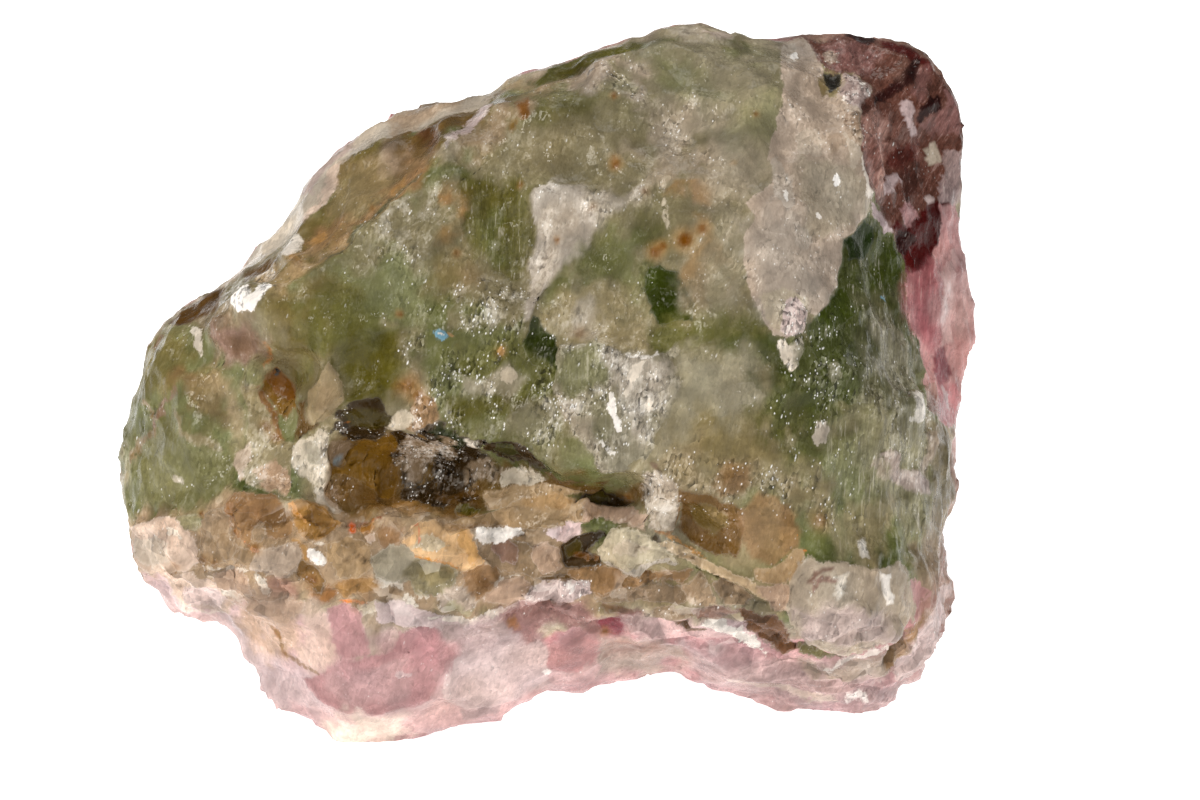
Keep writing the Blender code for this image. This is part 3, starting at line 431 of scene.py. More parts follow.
honey .5 .25 .3 0 r.6 : 386,188 396,176 404,166 404,180 392,192
tan .7 .8 .5 0 v.4 : 262,285 286,262 316,252 344,240 330,262 300,276 272,296
pearl .85 .25 .25 .1 v.7 : 284,252 298,232 304,236 302,248 290,256
honey .6 .25 .3 0 r.4 : 292,252 302,250 304,260 294,260
teal .6 .2 .3 -.1 v.3w5 : 418,168 386,198 352,234 330,262
drab .6 .3 .3 .1 v.8w7 : 378,224 396,204 420,190
bark .7 .3 .25 -.05 v.1 : 238,272 262,260 282,252 272,268 246,282
fog .9 .2 .2 0 v.15 : 240,262 286,212 322,156 366,122 392,104 426,90 498,84 500,94 472,106 434,120 424,127 384,132 366,142 350,158 324,200 300,222 262,259
lilac .6 .2 .2 0 v.1 : 300,196 322,160 344,140 366,128 350,148 330,172 312,196
shell .8 .2 .2 0 v.4 : 290,230 312,204 336,172 346,162 338,182 322,202 300,224
clay .6 .4 .3 0 v.2 : 384,118 426,100 480,92 440,112 424,124 390,128
moss .95 .3 .25 0 g.3v.1 : 526,80 563,60 604,46 645,43 640,50 604,60 566,74 536,86
thicket .7 .25 .25 0 g.3 : 552,72 574,64 620,52 610,60 578,72 560,82
oyster .75 .25 .3 .1 v.7w7 : 444,149 462,131 478,113 488,102
ash .5 .6 .4 .05 v.4 : 436,152 452,142 460,150 446,160
cocoa .7 .25 .35 0 r.35 : 514,108 528,106 529,118 518,121
amber .6 .25 .3 0 r.35 : 507,123 515,120 516,130 510,134
haze .5 .4 .3 0 v.2 : 670,34 700,30 706,40 684,46
oyster .4 .3 .3 0 v.2 : 700,30 730,30 736,38 712,40
# highlight and left lobe
leaf .9 1.4 .7 0 v.25 : 112,440 140,350 180,312 228,290 262,300 266,380 240,470 180,520 118,520
olive .7 1.2 .7 0 v.15 : 140,340 188,330 196,366 170,392 136,392
clay .6 .9 .6 0 v.15 : 184,372 222,374 240,380 236,430 206,430 186,412
sand .5 .7 .5 0 v.25 : 222,378 246,382 250,446 236,474 224,430
fern .85 1.2 .7 0 v.4s.1 : 116,440 140,404 180,420 236,440 238,490 204,514 150,518 122,500
fern .6 1.0 .6 0 v.1 : 128,460 150,450 190,470 226,486 220,508 160,514 128,498
lichen .22 1.0 .6 0 : 128,440 160,420 240,440 236,490 200,512 140,510
brown .5 .25 .4 .05 v.8w6 : 146,398 152,418 138,440 128,462
beige .5 .3 .4 .05 v.8w8 : 170,410 180,430 200,436 222,446
fog .6 .2 .3 .05 v.8w8 : 170,478 182,482
plum .5 .2 .3 -.05 v.3w4 : 178,384 164,402 158,416 148,424
stone .8 1.0 .6 .05 v.35 : 182,306 232,290 262,302 268,352 252,372 226,364 196,344 184,324
dusk .8 .7 .5 .1 v.3 : 212,326 236,314 262,330 268,352 252,366 226,362 212,346
bark .6 .5 .4 0 v.1 : 226,334 252,328 262,342 256,360 238,358
beige .5 .5 .5 .05 v.5 : 226,300 250,312 262,324 240,318 220,322
bark .9 .25 .25 -.05 : 168,320 190,302 215,287 223,285 216,300 196,318 180,327
white .8 .15 .2 .1 v.8 : 189,325 196,327 199,344 200,356 192,345
cocoa .5 .3 .3 0 v.4 : 152,352 160,334 166,336 158,356
snow 1 .12 .25 .05 v1s1 : 232,297 240,287 248,292 256,300 266,293 277,288 268,303 259,311 246,311 236,305
sand .6 .12 .25 .1 v1s1 : 252,280 262,268 272,264 270,276 264,292 254,290
khaki .85 .3 .35 .12 v.65 : 244,384 262,386 270,412 282,436 304,440 300,470 290,494 262,486 236,480 230,462 246,440 250,410
shell .6 .2 .3 .1 v.9 : 228,462 240,446 250,440 246,470 238,482
peach .6 .25 .3 .05 v.8 : 252,470 270,462 296,474 292,492 266,486
# brown recess beside the left lobe, and the flake and frosted patch next to it
bronze .75 .25 .25 -.03 r.35w4 : 266,342 271,352 272,360 267,370
amber .9 .2 .2 -.15 v.1 : 262,389 270,375 280,370 288,380 293,395 291,410 284,421 276,415 271,401 266,393
cocoa .8 .25 .2 -.1 : 268,378 279,371 287,380 291,394 282,398 272,390
black 1 .12 .06 -.05 w5 : 273,375 279,376
cocoa .8 .2 .2 0 r.5w6 : 261,387 264,400 271,414 276,428 280,436
bark .7 .3 .3 0 v.2u.4 : 293,402 303,398 308,420 320,432 304,438 294,436
beige .95 .15 .12 .28 v.15e.35 : 331,362 337,373 342,382 344,400 336,415 320,426 309,425 303,402 300,393 318,380
stone .4 .4 .3 0 : 318,384 334,384 338,402 322,416 312,402
bone .92 .25 .3 .15 v.7s.4u.3 : 300,440 325,437 334,445 342,470 330,490 320,482 301,471 297,450
ash .7 .2 .25 .05 v.6 : 306,444 322,444 326,468 312,466
white .7 .2 .3 .1 v.9s.6f.3 : 318,482 332,490 344,498 350,510 338,508 322,498
# dark hollow under the lip
umber .9 .5 .4 0 v.2 : 345,440 400,442 440,440 480,462 540,470 600,482 640,488 640,498 580,500 520,500 440,514 350,512 338,480
dark .88 .2 1.1 -.03 v.4s.9 : 326,430 334,420 344,412 358,410 374,408 388,413 396,426 391,438 378,442 366,446 352,446 346,437 336,438
thicket .4 .3 .25 0 v.1s.2 : 346,416 370,412 390,416 394,428 376,434 352,430
stone .6 .15 .2 0 v.3 : 341,448 350,448 356,456 346,464 340,458
amber .9 .3 .4 -.08 s.1 : 352,466 360,454 370,446 382,442 394,444 400,458 402,478 396,488 372,488 350,482 340,478 340,470
amber .55 .3 .25 0 : 366,456 386,448 396,462 394,482 366,482
umber .9 .35 .4 -.03 s.2v.1 : 342,482 370,488 398,487 408,500 386,508 346,506
clay .6 .2 .25 0 v.5s.5 : 326,482 338,480 346,492 346,508 334,498
azure .4 .1 .1 0 w3 : 345,464 350,458
azure .45 .1 .1 0 w3 : 352,449 360,443
emerald .6 .1 .1 0 w3 : 357,446 364,441
ochre .7 .1 .1 0 w3 : 341,468 345,462
sienna .4 .12 .1 0 w3 : 350,436 356,430
clay .75 .3 .7 0 v.5s.5 : 406,410 418,396 430,402 436,420 430,440 418,446 410,434
bone .8 .25 .5 0 v.9s.5 : 388,432 394,420 404,410 412,418 409,436 398,441
dark .93 .25 1.0 -.03 v.5s.8 : 392,444 402,437 410,444 420,454 426,440 432,428 446,421 456,432 468,450 480,458 494,466 484,478 466,482 450,476 436,474 424,484 410,482 400,470 396,456
forest .5 .3 .5 0 s.4 : 434,430 448,424 460,440 470,454 456,462 440,456 432,444
dark .85 .3 .8 -.03 v.4s.7 : 402,480 424,486 444,474 456,482 450,498 430,502 410,500
taupe .75 .25 .6 0 v.9s.5 : 396,456 408,450 420,458 432,450 442,462 430,474 418,480 404,474
taupe .7 .25 .6 0 v.9s.7 : 436,446 446,448 458,456 462,464 450,466 440,458
taupe .75 .25 .5 0 v.9s.6 : 466,466 480,462 500,468 498,478 480,478 470,474
bark .7 .35 .7 0 v.45s.6 : 446,482 462,478 484,484 482,500 452,502
thicket .8 .15 .25 0 v.35s.5 : 456,502 470,494 484,500 482,512 464,514
white .7 .12 .15 .05 v.8w5 : 456,438 468,448 474,456
dark .96 .1 .15 -.1 s.4 : 480,452 492,444 504,443 518,446 528,452 540,461 552,470 536,466 514,464 500,463 486,461
pine .5 .15 .25 0 s.4 : 494,446 512,448 522,458 504,460
bone .8 .15 .2 .08 v.7s.4 : 498,474 516,467 536,469 549,476 540,484 520,484 502,482
tan .85 .3 .3 .05 v.4s.2 : 484,487 520,483 556,486 580,494 560,502 520,502 490,504
bark .7 .12 .15 -.05 w4 : 548,470 566,477 590,481 604,487
ochre .85 .6 .4 .05 v.1 : 346,508 400,504 440,506 490,508 486,520 440,522 400,522 356,520
tan .5 .4 .4 0 v.3 : 380,508 420,508 440,514 420,522 384,520
cocoa .4 .4 .6 0 v.3r.6 : 398,392 412,378 420,382 426,396 418,410 402,404
# flaky courses
biscuit .95 .8 .6 .1 v.2 : 128,516 200,520 234,500 300,494 350,512 420,518 480,516 560,516 600,556 640,600 560,606 480,618 400,626 340,606 250,604 190,596 140,570
shell .96 .2 .2 .15 v.25e.3 : 133,527 145,521 160,518 182,519 190,530 197,545 202,560 190,572 178,566 160,572 146,562 138,550
fog .7 .3 .25 0 v.2 : 138,540 156,536 170,546 168,560 152,562 142,552
white .8 .15 .15 .05 v.6w8 : 168,530 176,533 184,541
shell .92 .25 .25 .1 v.2 : 140,556 160,573 178,567 200,572 216,580 232,596 230,614 208,612 186,606 170,592 152,574
oyster .7 .3 .25 0 v.2 : 180,590 206,588 224,604 216,612 190,606
fawn .85 .15 .2 .08 v.15 : 214,574 232,572 244,584 248,600 230,600 216,588
white .8 .12 .15 .05 v.5w7 : 222,592 230,598 238,607
sage .6 .25 .25 0 v.2 : 180,518 204,514 210,524 196,532 186,528
taupe .85 .15 .2 .18 v.2e.3 : 202,528 215,513 230,507 232,530 236,545 232,560 215,566 203,556
clay .95 .15 .15 .12 v.05e.2 : 230,503 236,492 262,496 285,496 293,512 298,530 290,536 276,538 262,524 256,530 258,543 245,543 233,536
brown .6 .3 .25 0 : 240,500 284,500 290,516 276,528 260,514 240,516
bronze .55 .12 .12 0 w5 : 233,504 232,524 237,534
taupe .75 .12 .12 .08 v.1 : 260,518 266,520 272,530 268,541 258,542 258,530
ochre .8 .2 .2 .08 v.15e.2 : 293,498 310,494 330,505 344,520 332,530 318,541 302,536 296,520
honey .55 .3 .2 0 v.2 : 312,500 328,508 338,520 322,530 314,516
caramel .8 .12 .12 0 r.2w5 : 295,496 299,510 307,522
taupe .8 .3 .2 .05 v.2e.25 : 240,546 262,546 262,566 248,576 234,566 234,552
frost .8 .3 .2 .05 v.3e.3 : 262,546 300,542 302,560 290,575 270,580 252,566
honey .8 .3 .2 0 r.2w9 : 296,539 306,549 308,562
snow .95 .12 .1 .06 v.3w12 : 311,549 318,557 325,563
umber .9 .3 .2 -.1 v.1 : 291,566 305,561 318,568 329,580 322,594 308,588 297,576
dark .9 .1 .1 -.05 w5 : 308,582 316,585
bronze .6 .25 .25 0 : 304,590 322,592 332,582 342,592 330,602 312,602
mauve .8 .4 .3 0 v.1 : 266,584 284,577 300,588 300,602 280,606 266,598
white .8 .12 .2 .08 v.7s.3w9 : 255,578 261,587 264,597
fawn .75 .3 .3 0 v.1 : 240,604 300,602 304,612 280,628 256,630 244,618
tan .85 .3 .2 .05 v.2e.25 : 326,543 350,534 372,545 378,562 360,580 338,574 326,558
sienna .85 .1 .12 0 r.4w4 : 245,542 256,545 263,547
flame .95 .08 .12 0 r.4w8 : 355,517 356,532
caramel .85 .12 .15 0 r.2 : 361,523 377,523 375,533 364,531
rust .7 .1 .12 0 r.4w4 : 360,521 372,522 388,520
shell .85 .12 .15 .06 v.5 : 366,535 378,532 381,541 370,543
brown .6 .2 .2 .05 v.1e.2 : 380,532 400,526 410,534 404,546 386,550
ash .88 .25 .15 .12 v.15e.35 : 372,556 392,545 414,548 427,560 420,574 400,583 378,578
drab .92 .12 .15 .06 v.1e.35 : 405,573 418,560 440,562 457,572 457,590 440,597 418,592
olive .4 .3 .3 0 : 420,570 444,570 450,584 430,590
wheat .96 .15 .15 .2 v.1e.25 : 404,543 416,532 432,522 460,522 472,534 479,554 467,570 448,566 428,556 412,548
cream .8 .25 .15 .05 v.3 : 412,546 424,536 440,534 453,542 440,548 426,546
honey .75 .3 .2 0 : 455,524 470,531 478,552 466,562 458,544
caramel .9 .1 .12 0 r.2w6 : 413,551 430,558 446,566 458,572 470,567
flame .6 .1 .1 0 r.3w3 : 420,528 424,540
bronze .85 .1 .12 0 w3 : 426,557 434,560
white .85 .12 .15 .08 v.7w8 : 378,581 396,584 410,595 422,608
ochre .6 .3 .3 0 v.2 : 334,582 362,576 384,582 376,598 346,600
sienna .8 .1 .12 0 r.4w5 : 340,603 356,604 370,606
bone .85 .15 .15 .06 v.5 : 356,608 384,602 388,612 366,616
frost .88 .25 .2 .05 v.3e.35 : 438,604 450,588 470,582 487,590 482,604 460,612 444,612
lichen .6 .2 .2 .05 : 448,606 462,600 480,604 470,614 452,614
clay .8 .3 .2 .06 v.1e.25 : 456,566 484,560 500,572 496,586 484,596 470,594 462,580
fawn .85 .3 .2 .05 v.2e.3 : 484,592 500,577 522,577 535,588 520,602 500,607 488,603
oyster .92 .2 .2 .1 v.35e.2 : 378,606 400,598 420,606 440,616 470,619 500,611 522,602 540,592 550,596 520,611 490,623 460,629 430,629 400,625 380,619
white .8 .1 .12 .08 v.6w5 : 424,618 452,620 484,616 520,606
white .6 .1 .12 .05 v.5w3 : 202,560 216,570 234,574 250,572
white .6 .1 .12 .05 v.5w3 : 300,530 318,541 326,543
pearl .6 .1 .12 .05 v.5w3 : 378,578 400,583 420,574 427,562
white .6 .1 .12 .05 v.5w3 : 418,593 440,598 458,590 470,594
pearl .6 .1 .12 .05 v.5w3 : 484,596 497,586 501,576 520,574
white .5 .1 .12 .05 v.5w3 : 170,592 188,607 208,613 228,615
# courses right of the middle
tan .92 .3 .25 .15 v.2e.2 : 440,520 480,512 500,504 520,495 560,497 580,503 580,522 545,530 510,526 480,528 450,522
brown .5 .2 .25 0 : 440,522 470,522 500,524 476,530 450,528
honey .4 .3 .3 0 : 520,496 560,498 580,504 560,510 524,506
fawn .92 .2 .2 .2 v.35e.3 : 578,504 604,504 636,508 644,515 644,524 616,522 590,520 576,522
umber .5 .2 .2 0 : 582,508 600,508 600,518 586,520
taupe .92 .15 .2 .1 v.3e.2 : 478,545 500,539 520,540 535,545 555,543 561,560 556,573 540,579 510,571 485,566
dusk .85 .12 .2 -.05 v.2s.3 : 490,546 508,538 516,548 513,563 498,561
fawn .85 .12 .15 .1 v.3e.4 : 530,545 548,540 560,548 562,566 546,574 534,562
snow .97 .12 .1 .1 v.3 : 477,531 490,528 505,526 524,527 512,536 496,545 484,543 476,537
blush .97 .12 .1 .1 v.3 : 544,530 560,524 581,522 581,536 566,541 556,538
dark .97 .1 .1 -.35 : 575,502 582,494 595,490 615,490 630,495 633,503 620,508 600,504
thicket .5 .15 .15 0 : 584,498 600,493 616,494 612,502 596,502
dark .97 .1 .1 -.35 : 561,545 570,540 582,535 596,530 603,532 592,541 586,550 600,555 602,563 585,566 566,565
thicket .5 .2 .2 0 : 566,546 580,540 580,552 568,556
bronze .5 .12 .12 0 r.3w6 : 574,552 588,556 598,556
bark .9 .12 .15 -.2 w6 : 540,579 562,574 590,572
clay .9 .2 .2 -.08 v.1s.1 : 562,566 600,561 625,571 660,573 692,573 685,581 650,581 620,586 610,593 590,589 575,579
oyster .92 .15 .2 .15 v.7s.5e.3f.4 : 520,593 540,582 562,577 590,578 592,590 572,598 548,601 530,605
snow .9 .1 .1 .05 w5 : 566,580 574,588
drab .8 .12 .15 -.1 w4 : 528,602 548,599 566,601
stone .85 .2 .2 .1 v.3e.25 : 592,592 610,594 625,581 660,581 680,583 692,590 682,601 650,603 625,601 604,600
cream .92 .12 .15 .2 v.3e.5 : 598,550 605,537 615,528 630,524 645,528 656,538 665,545 673,558 682,566 655,563 635,571 615,564 604,560
frost .5 .3 .3 0 : 612,540 636,532 652,546 636,556 616,554
haze .8 .1 .15 .08 v.8w6f.3 : 606,560 622,567 636,569 654,563 676,566
coffee .6 .2 .2 -.06 : 600,600 615,602 630,610 646,616 630,619 610,611
stone .75 .15 .2 .1 v.4e.25 : 648,614 664,606 690,604 700,614 680,620 656,622
bark .85 .12 .15 -.1 : 674,622 690,621 706,632 692,632
mist .95 .15 .2 .12 v.6s.3e.3f.3 : 640,474 655,470 668,476 678,486 680,500 676,524 666,534 650,527 640,510
fog .6 .2 .2 .05 v.7 : 656,502 672,500 676,520 662,526
bronze .7 .15 .12 0 r.3w3 : 678,484 681,500 677,524 666,535 655,530
dark .8 .12 .12 -.15 w5 : 655,533 662,540
umber .92 .25 .3 -.05 v.2s.12 : 680,488 700,492 720,500 740,508 744,530 738,551 715,551 700,546 685,536 678,525 682,505
olive .5 .3 .3 0 s.5 : 690,498 716,506 730,526 710,536 690,520
clay .8 .35 .3 0 v.06s.1 : 738,510 752,498 774,500 790,518 803,535 790,553 770,562 748,553 741,534
bronze .18 .4 .3 0 : 776,508 792,524 798,538 782,556 776,540
tan .85 .2 .25 .05 v.3r.15 : 750,564 778,562 796,548 806,556 798,572 780,580 752,576
sienna .6 .1 .12 0 r.3w3 : 797,534 799,550 808,552
sand .92 .15 .15 .2 v.5s.1e.3w12 : 663,543 690,556 715,568 740,579 776,597
caramel .6 .12 .15 .05 w5 : 668,537 690,549 706,556
taupe .92 .15 .15 -.1 v.1 : 708,580 730,581 756,597 746,604 722,601
fawn .75 .2 .2 .05 v.3 : 756,582 790,576 798,596 786,604 770,600
biscuit .8 .2 .2 .1 v.5e.25 : 680,584 696,578 708,584 716,600 700,604 688,598
dusk .8 .2 .2 0 v.4e.2 : 690,606 722,602 736,612 720,620 700,618
coffee .95 .12 .15 -.1 g.2 : 733,608 750,604 760,614 775,607 784,625 795,641 780,646 765,641 745,629
pearl .9 .12 .15 .15 v.5e.3w13 : 702,622 722,626 746,640 768,656
umber .22 .9 .5 0 : 490,546 560,536 640,560 700,580 690,612 600,600 520,596
amber .14 .9 .5 0 : 210,540 300,500 330,560 310,610 240,600
# block at the lower right
mist .95 .2 .2 .3 v.25e.3 : 795,560 810,554 835,558 850,565 870,567 890,562 904,560 907,575 912,600 911,621 903,633 885,639 868,646 845,651 825,646 810,636 800,623 789,612 784,600 788,580
mist .75 .6 .4 0 v.12 : 850,568 888,568 898,590 880,608 850,600
orchid .6 .5 .4 0 v.3 : 800,600 850,606 890,616 880,636 840,640 806,626
white .7 .2 .25 .08 v.8 : 832,574 842,572 844,594 834,596
snow .6 .25 .25 .08 v.6 : 886,570 898,566 900,600 890,604
burgundy .7 .15 .2 -.15 w5 : 808,578 818,568 832,568
plum .6 .15 .2 -.12 w4 : 812,584 822,574 834,580
fern .85 .15 .15 -.25 v.1w7 : 796,641 818,650 842,653
mist .8 .5 .4 0 v.35 : 800,654 850,662 892,642 920,640 904,668 850,690 806,676
pearl .6 .15 .2 .08 v.7w5 : 820,666 850,657 884,644
clay .85 .25 .25 -.15 v.08 : 884,641 905,635 919,615 928,600 940,589 946,592 926,612 912,640 900,660 892,674 884,665
fawn .5 .25 .25 -.05 : 888,644 902,640 906,650 894,654
flesh .8 .15 .12 0 : 910,576 918,575 921,590 915,613 911,608
oyster .85 .3 .3 .1 v.3 : 925,602 950,590 952,622 928,656 908,677 895,680 905,655 918,635
blush .6 .2 .2 .05 v.5w5 : 944,600 940,626 926,648
# pink base
flesh .7 .5 .4 0 v.3 : 596,640 680,644 760,664 860,694 900,700 880,714 800,714 700,690 600,672
orchid .95 .7 .4 0 v.1 : 226,618 262,622 270,660 300,676 330,702 306,716 268,706 240,664
oyster .8 .4 .3 0 v.2 : 230,624 250,626 262,660 258,676 240,662
fawn .9 .6 .4 0 v.1 : 232,602 300,598 300,640 290,664 262,652 246,628
shell .7 .5 .4 0 v.05 : 295,604 330,602 334,660 320,674 300,662
flesh .8 .2 .25 0 c.05 : 328,607 345,605 363,614 370,640 371,652 345,657 329,640
flesh .95 .25 .25 .05 c.1 : 338,662 372,651 386,648 400,632 420,627 442,626 450,640 456,655 449,670 441,690 425,703 400,711 375,712 345,707 320,697 303,682 320,674
lilac .4 .6 .4 0 v.2 : 340,664 380,660 420,650 430,672 400,700 350,700 330,686
rose .4 .5 .4 0 v.15 : 412,636 436,634 440,660 420,680 408,660
amber .6 .12 .2 0 r.2w4 : 262,630 279,640 283,656 300,666 322,673
bronze .6 .2 .3 0 r.3 : 264,632 278,634 282,644 272,644
orchid .7 .15 .2 .1 v.5w5 : 398,678 412,676
oyster .95 .3 .2 .12 v.1 : 458,656 462,640 500,634 540,640 551,652 549,668 551,685 530,696 500,706 465,713 450,706 444,692
lilac .9 .4 .3 .05 v.12 : 444,628 480,618 522,626 546,640 552,652 510,644 470,650 458,660 452,644
orchid .4 .6 .3 0 v.2 : 458,656 462,640 500,634 540,640 551,652 549,668 551,685 530,696 500,706 465,713 450,706 444,692
oyster .6 .4 .3 0 v.2 : 466,666 500,660 510,690 480,704 462,700
petal .85 .4 .3 0 v.15 : 318,712 400,712 440,706 470,714 500,708 540,694 552,690 540,708 500,724 440,736 330,746
lilac .8 .25 .2 0 : 460,714 482,708 502,704 500,714 476,722 460,724
white .7 .8 .4 0 : 328,722 350,716 392,720 410,732 400,748 334,748
rosewood .92 .4 .35 -.05 v.25 : 500,616 540,601 582,599 600,614 640,617 602,640 560,630 530,641 510,627
bronze .5 .2 .2 0 : 504,620 518,618 522,628 510,630
flesh .9 .3 .3 -.1 c.1 : 546,668 560,640 572,627 590,640 598,660 580,676 560,673
garnet .8 .3 .25 -.05 : 594,626 610,617 622,625 621,641 602,641
snow .7 .15 .15 .1 v.5w9 : 548,671 549,675
haze .8 .4 .3 0 v.25 : 600,644 640,640 676,652 690,668 640,678 600,676
lilac .7 .4 .35 0 v.2g.3 : 624,622 660,624 680,640 660,652 626,640
mauve .6 .5 .3 0 g.4v.2 : 600,640 640,646 676,656 640,660 606,654
orchid .92 .6 .4 0 v.3g.2 : 672,650 760,664 860,690 904,690 880,712 800,714 700,686
white .5 .2 .25 .05 v.5w6 : 730,676 780,692 840,706
fog .35 .15 .2 0 w4 : 760,684 810,700 850,710
mauve .24 .8 .5 0 g.3 : 620,650 760,664 860,694 900,700 870,714 780,706 690,680 610,668
snow .7 .2 .25 .08 v.8w6 : 846,704 862,702 870,706
"""

# Rust and ink spots: across, down, radius in drawing units, strength
SPOTS = [
    (684, 241, 6.5, 1.0), (655, 253, 5, 0.9), (662, 247, 3.5, 0.8), (701, 230, 4, 0.8), (616, 164, 4, 0.8),
    (614, 158, 3, 0.4), (556, 239, 2.2, 0.9), (401, 313, 2.2, 0.9), (605, 635, 2.5, 0.9), (174, 568, 4, 0.6),
    (180, 564, 3, 0.5), (204, 560, 4, 0.6), (215, 563, 3, 0.5), (259, 547, 4, 0.8), (252, 544, 2.5, 0.5), (313, 583, 5, 1.0),
    (310, 581, 3, 0.6), (205, 514, 2.5, 0.9), (578, 331, 4, 0.4), (592, 208, 3, 0.35), (274, 434, 4, 0.7), (267, 425, 4, 0.6),
    (458, 254, 3, 0.6), (518, 186, 2.5, 0.6), (370, 528, 6, 0.5), (356, 606, 4, 0.5), (368, 600, 5, 0.35), (282, 655, 3, 0.5),
    (614, 95, 2, 0.9), (755, 116, 2, 0.6), (733, 164, 1.6, 0.5), (408, 386, 6, 0.6), (418, 396, 5, 0.6), (501, 352, 4, 0.5),
    (300, 262, 4, 0.35), (369, 204, 2, 0.6), (645, 195, 2.5, 0.4), (628, 496, 2.5, 0.9), (820, 520, 6, 0.45),
]


def to_stone(x, y, w):
    """A point of the drawings in the stone's own upright frame, in mm."""
    across, up = (x - CENTRE_X) * UNIT_MM, (CENTRE_Y - y) * UNIT_MM
    return (
        across,
        up * math.sin(TILT) - w * math.cos(TILT),
        up * math.cos(TILT) + w * math.sin(TILT),
    )


def to_drawing(points):
    """Across and down in drawing units, and towards the viewer in mm, of points in the upright frame."""
    x, y, z = points.T
    up = y * math.sin(TILT) + z * math.cos(TILT)
    w = -y * math.cos(TILT) + z * math.sin(TILT)
    return CENTRE_X + x / UNIT_MM, CENTRE_Y - up / UNIT_MM, w


def oversize_outline():
    """The outline moved outwards by RIM_UNITS, and a little more at its sharp convex corners."""
    flat = [Vector((x, y)) for x, y, _ in OUTLINE]
    n = len(flat)
    found = []
    for i, (x, y, w) in enumerate(OUTLINE):
        along = (flat[(i + 2) % n] - flat[i - 2]).normalized()
        out = Vector((along.y, -along.x))
        bend = (flat[(i + 2) % n] - flat[i]).normalized().cross((flat[i] - flat[i - 2]).normalized())
        away = RIM_UNITS * (1 + 1.2 * max(-bend, 0.0))
        found.append((x + out.x * away, y + out.y * away, w))
    return found


def sheet(bm, outline, ring, inner, facing):
    """Spans the outline with triangles through the inner corners of one drawing."""
    flat = [Vector((v[0], v[1])) for v in outline] + [Vector((p[0], p[1])) for p in inner]
    corners = ring + [bm.verts.new(to_stone(*p)) for p in inner]
    n = len(outline)
    edges = [(i, (i + 1) % n) for i in range(n)]
    _, _, faces, sources, _, _ = delaunay_2d_cdt(flat, edges, [], 1, 1e-4)
    # The outline is clockwise on a page whose Y runs down, so its triangles are turned to face out.
    for face in faces:
        found = [corners[sources[i][0]] for i in face]
        a, b, c = (flat[sources[i][0]] for i in face)
        turn = (b - a).cross(c - a)
        if (turn > 0) == facing:
            found.reverse()
        bm.faces.new(found)


def drawn_solid():
    bm = bmesh.new()
    outline = oversize_outline()
    ring = [bm.verts.new(to_stone(*p)) for p in outline]
    sheet(bm, outline, ring, [p for group in FRONT.values() for p in group], True)
    sheet(bm, outline, ring, [p for group in BACK.values() for p in group], False)
    return bm


def hashed(i, j, k, seed):
    """A number from 0 to 1 for each whole-numbered cell."""
    h = (i * 374761393 + j * 668265263 + k * 1274126177 + seed * 362437) & 0xFFFFFFFF
    h = ((h ^ (h >> 13)) * 1274126177) & 0xFFFFFFFF
    h = ((h ^ (h >> 16)) * 2246822519) & 0xFFFFFFFF
    return ((h ^ (h >> 15)) & 0xFFFFFF) / float(0xFFFFFF)


def swell(points, seed):
    """Smooth noise from -1 to 1 with features one unit across."""
    cell = np.floor(points).astype(np.int64)
    part = points - cell
    fade = part * part * part * (part * (part * 6 - 15) + 10)
    total = 0.0
    for corner in range(8):
        step = np.array([corner & 1, corner >> 1 & 1, corner >> 2 & 1])
        share = np.prod(np.where(step, fade, 1 - fade), axis=1)
        total = total + share * hashed(*(cell + step).T, seed)
    return total * 2 - 1


def rough(points, seed, octaves=3):
    return sum(swell(points * 2.03**i + 17.3 * i, seed + i) * 0.5**i for i in range(octaves))


def chips(points, seed):
    """Broken cleavage: each cell is a flat chip with a tilt and a height of its own. Returns its height, -1 to 1."""
    cell = np.floor(points).astype(np.int64)
    nearest = np.full(len(points), 9.0)
    height = np.zeros(len(points))
    for i in (-1, 0, 1):
        for j in (-1, 0, 1):
            for k in (-1, 0, 1):
                at = cell + (i, j, k)
                a, b, c = at.T
                spot = np.stack([hashed(a, b, c, seed + s) for s in (1, 2, 3)], 1)
                away = points - (at + 0.15 + 0.7 * spot)
                far = (away * away).sum(1)
                tip = np.stack([hashed(a, b, c, seed + s) - 0.5 for s in (4, 5, 6)], 1) * 2
                tall = (away * tip).sum(1) + (hashed(a, b, c, seed + 7) - 0.5) * 1.2
                closer = far < nearest
                nearest = np.where(closer, far, nearest)
                height = np.where(closer, tall, height)
    return height


def scoops(points, seed, bowl=1.1):
    """Conchoidal breakage: shallow scoops that meet in sharp ridges. Returns the height, about -1 to 1."""
    cell = np.floor(points).astype(np.int64)
    lowest = np.full(len(points), 9.0)
    for i in (-1, 0, 1):
        for j in (-1, 0, 1):
            for k in (-1, 0, 1):
                at = cell + (i, j, k)
                a, b, c = at.T
                spot = np.stack([hashed(a, b, c, seed + s) for s in (1, 2, 3)], 1)
                away = points - (at + 0.1 + 0.8 * spot)
                tip = np.stack([hashed(a, b, c, seed + s) - 0.5 for s in (4, 5, 6)], 1) * 1.4
                tall = bowl * (away * away).sum(1) + (away * tip).sum(1) + (hashed(a, b, c, seed + 7) - 0.5) * 0.9
                lowest = np.minimum(lowest, tall)
    return lowest * 1.6 - 0.35


def step(low, high, value):
    t = np.clip((value - low) / (high - low), 0, 1)
    return t * t * (3 - 2 * t)


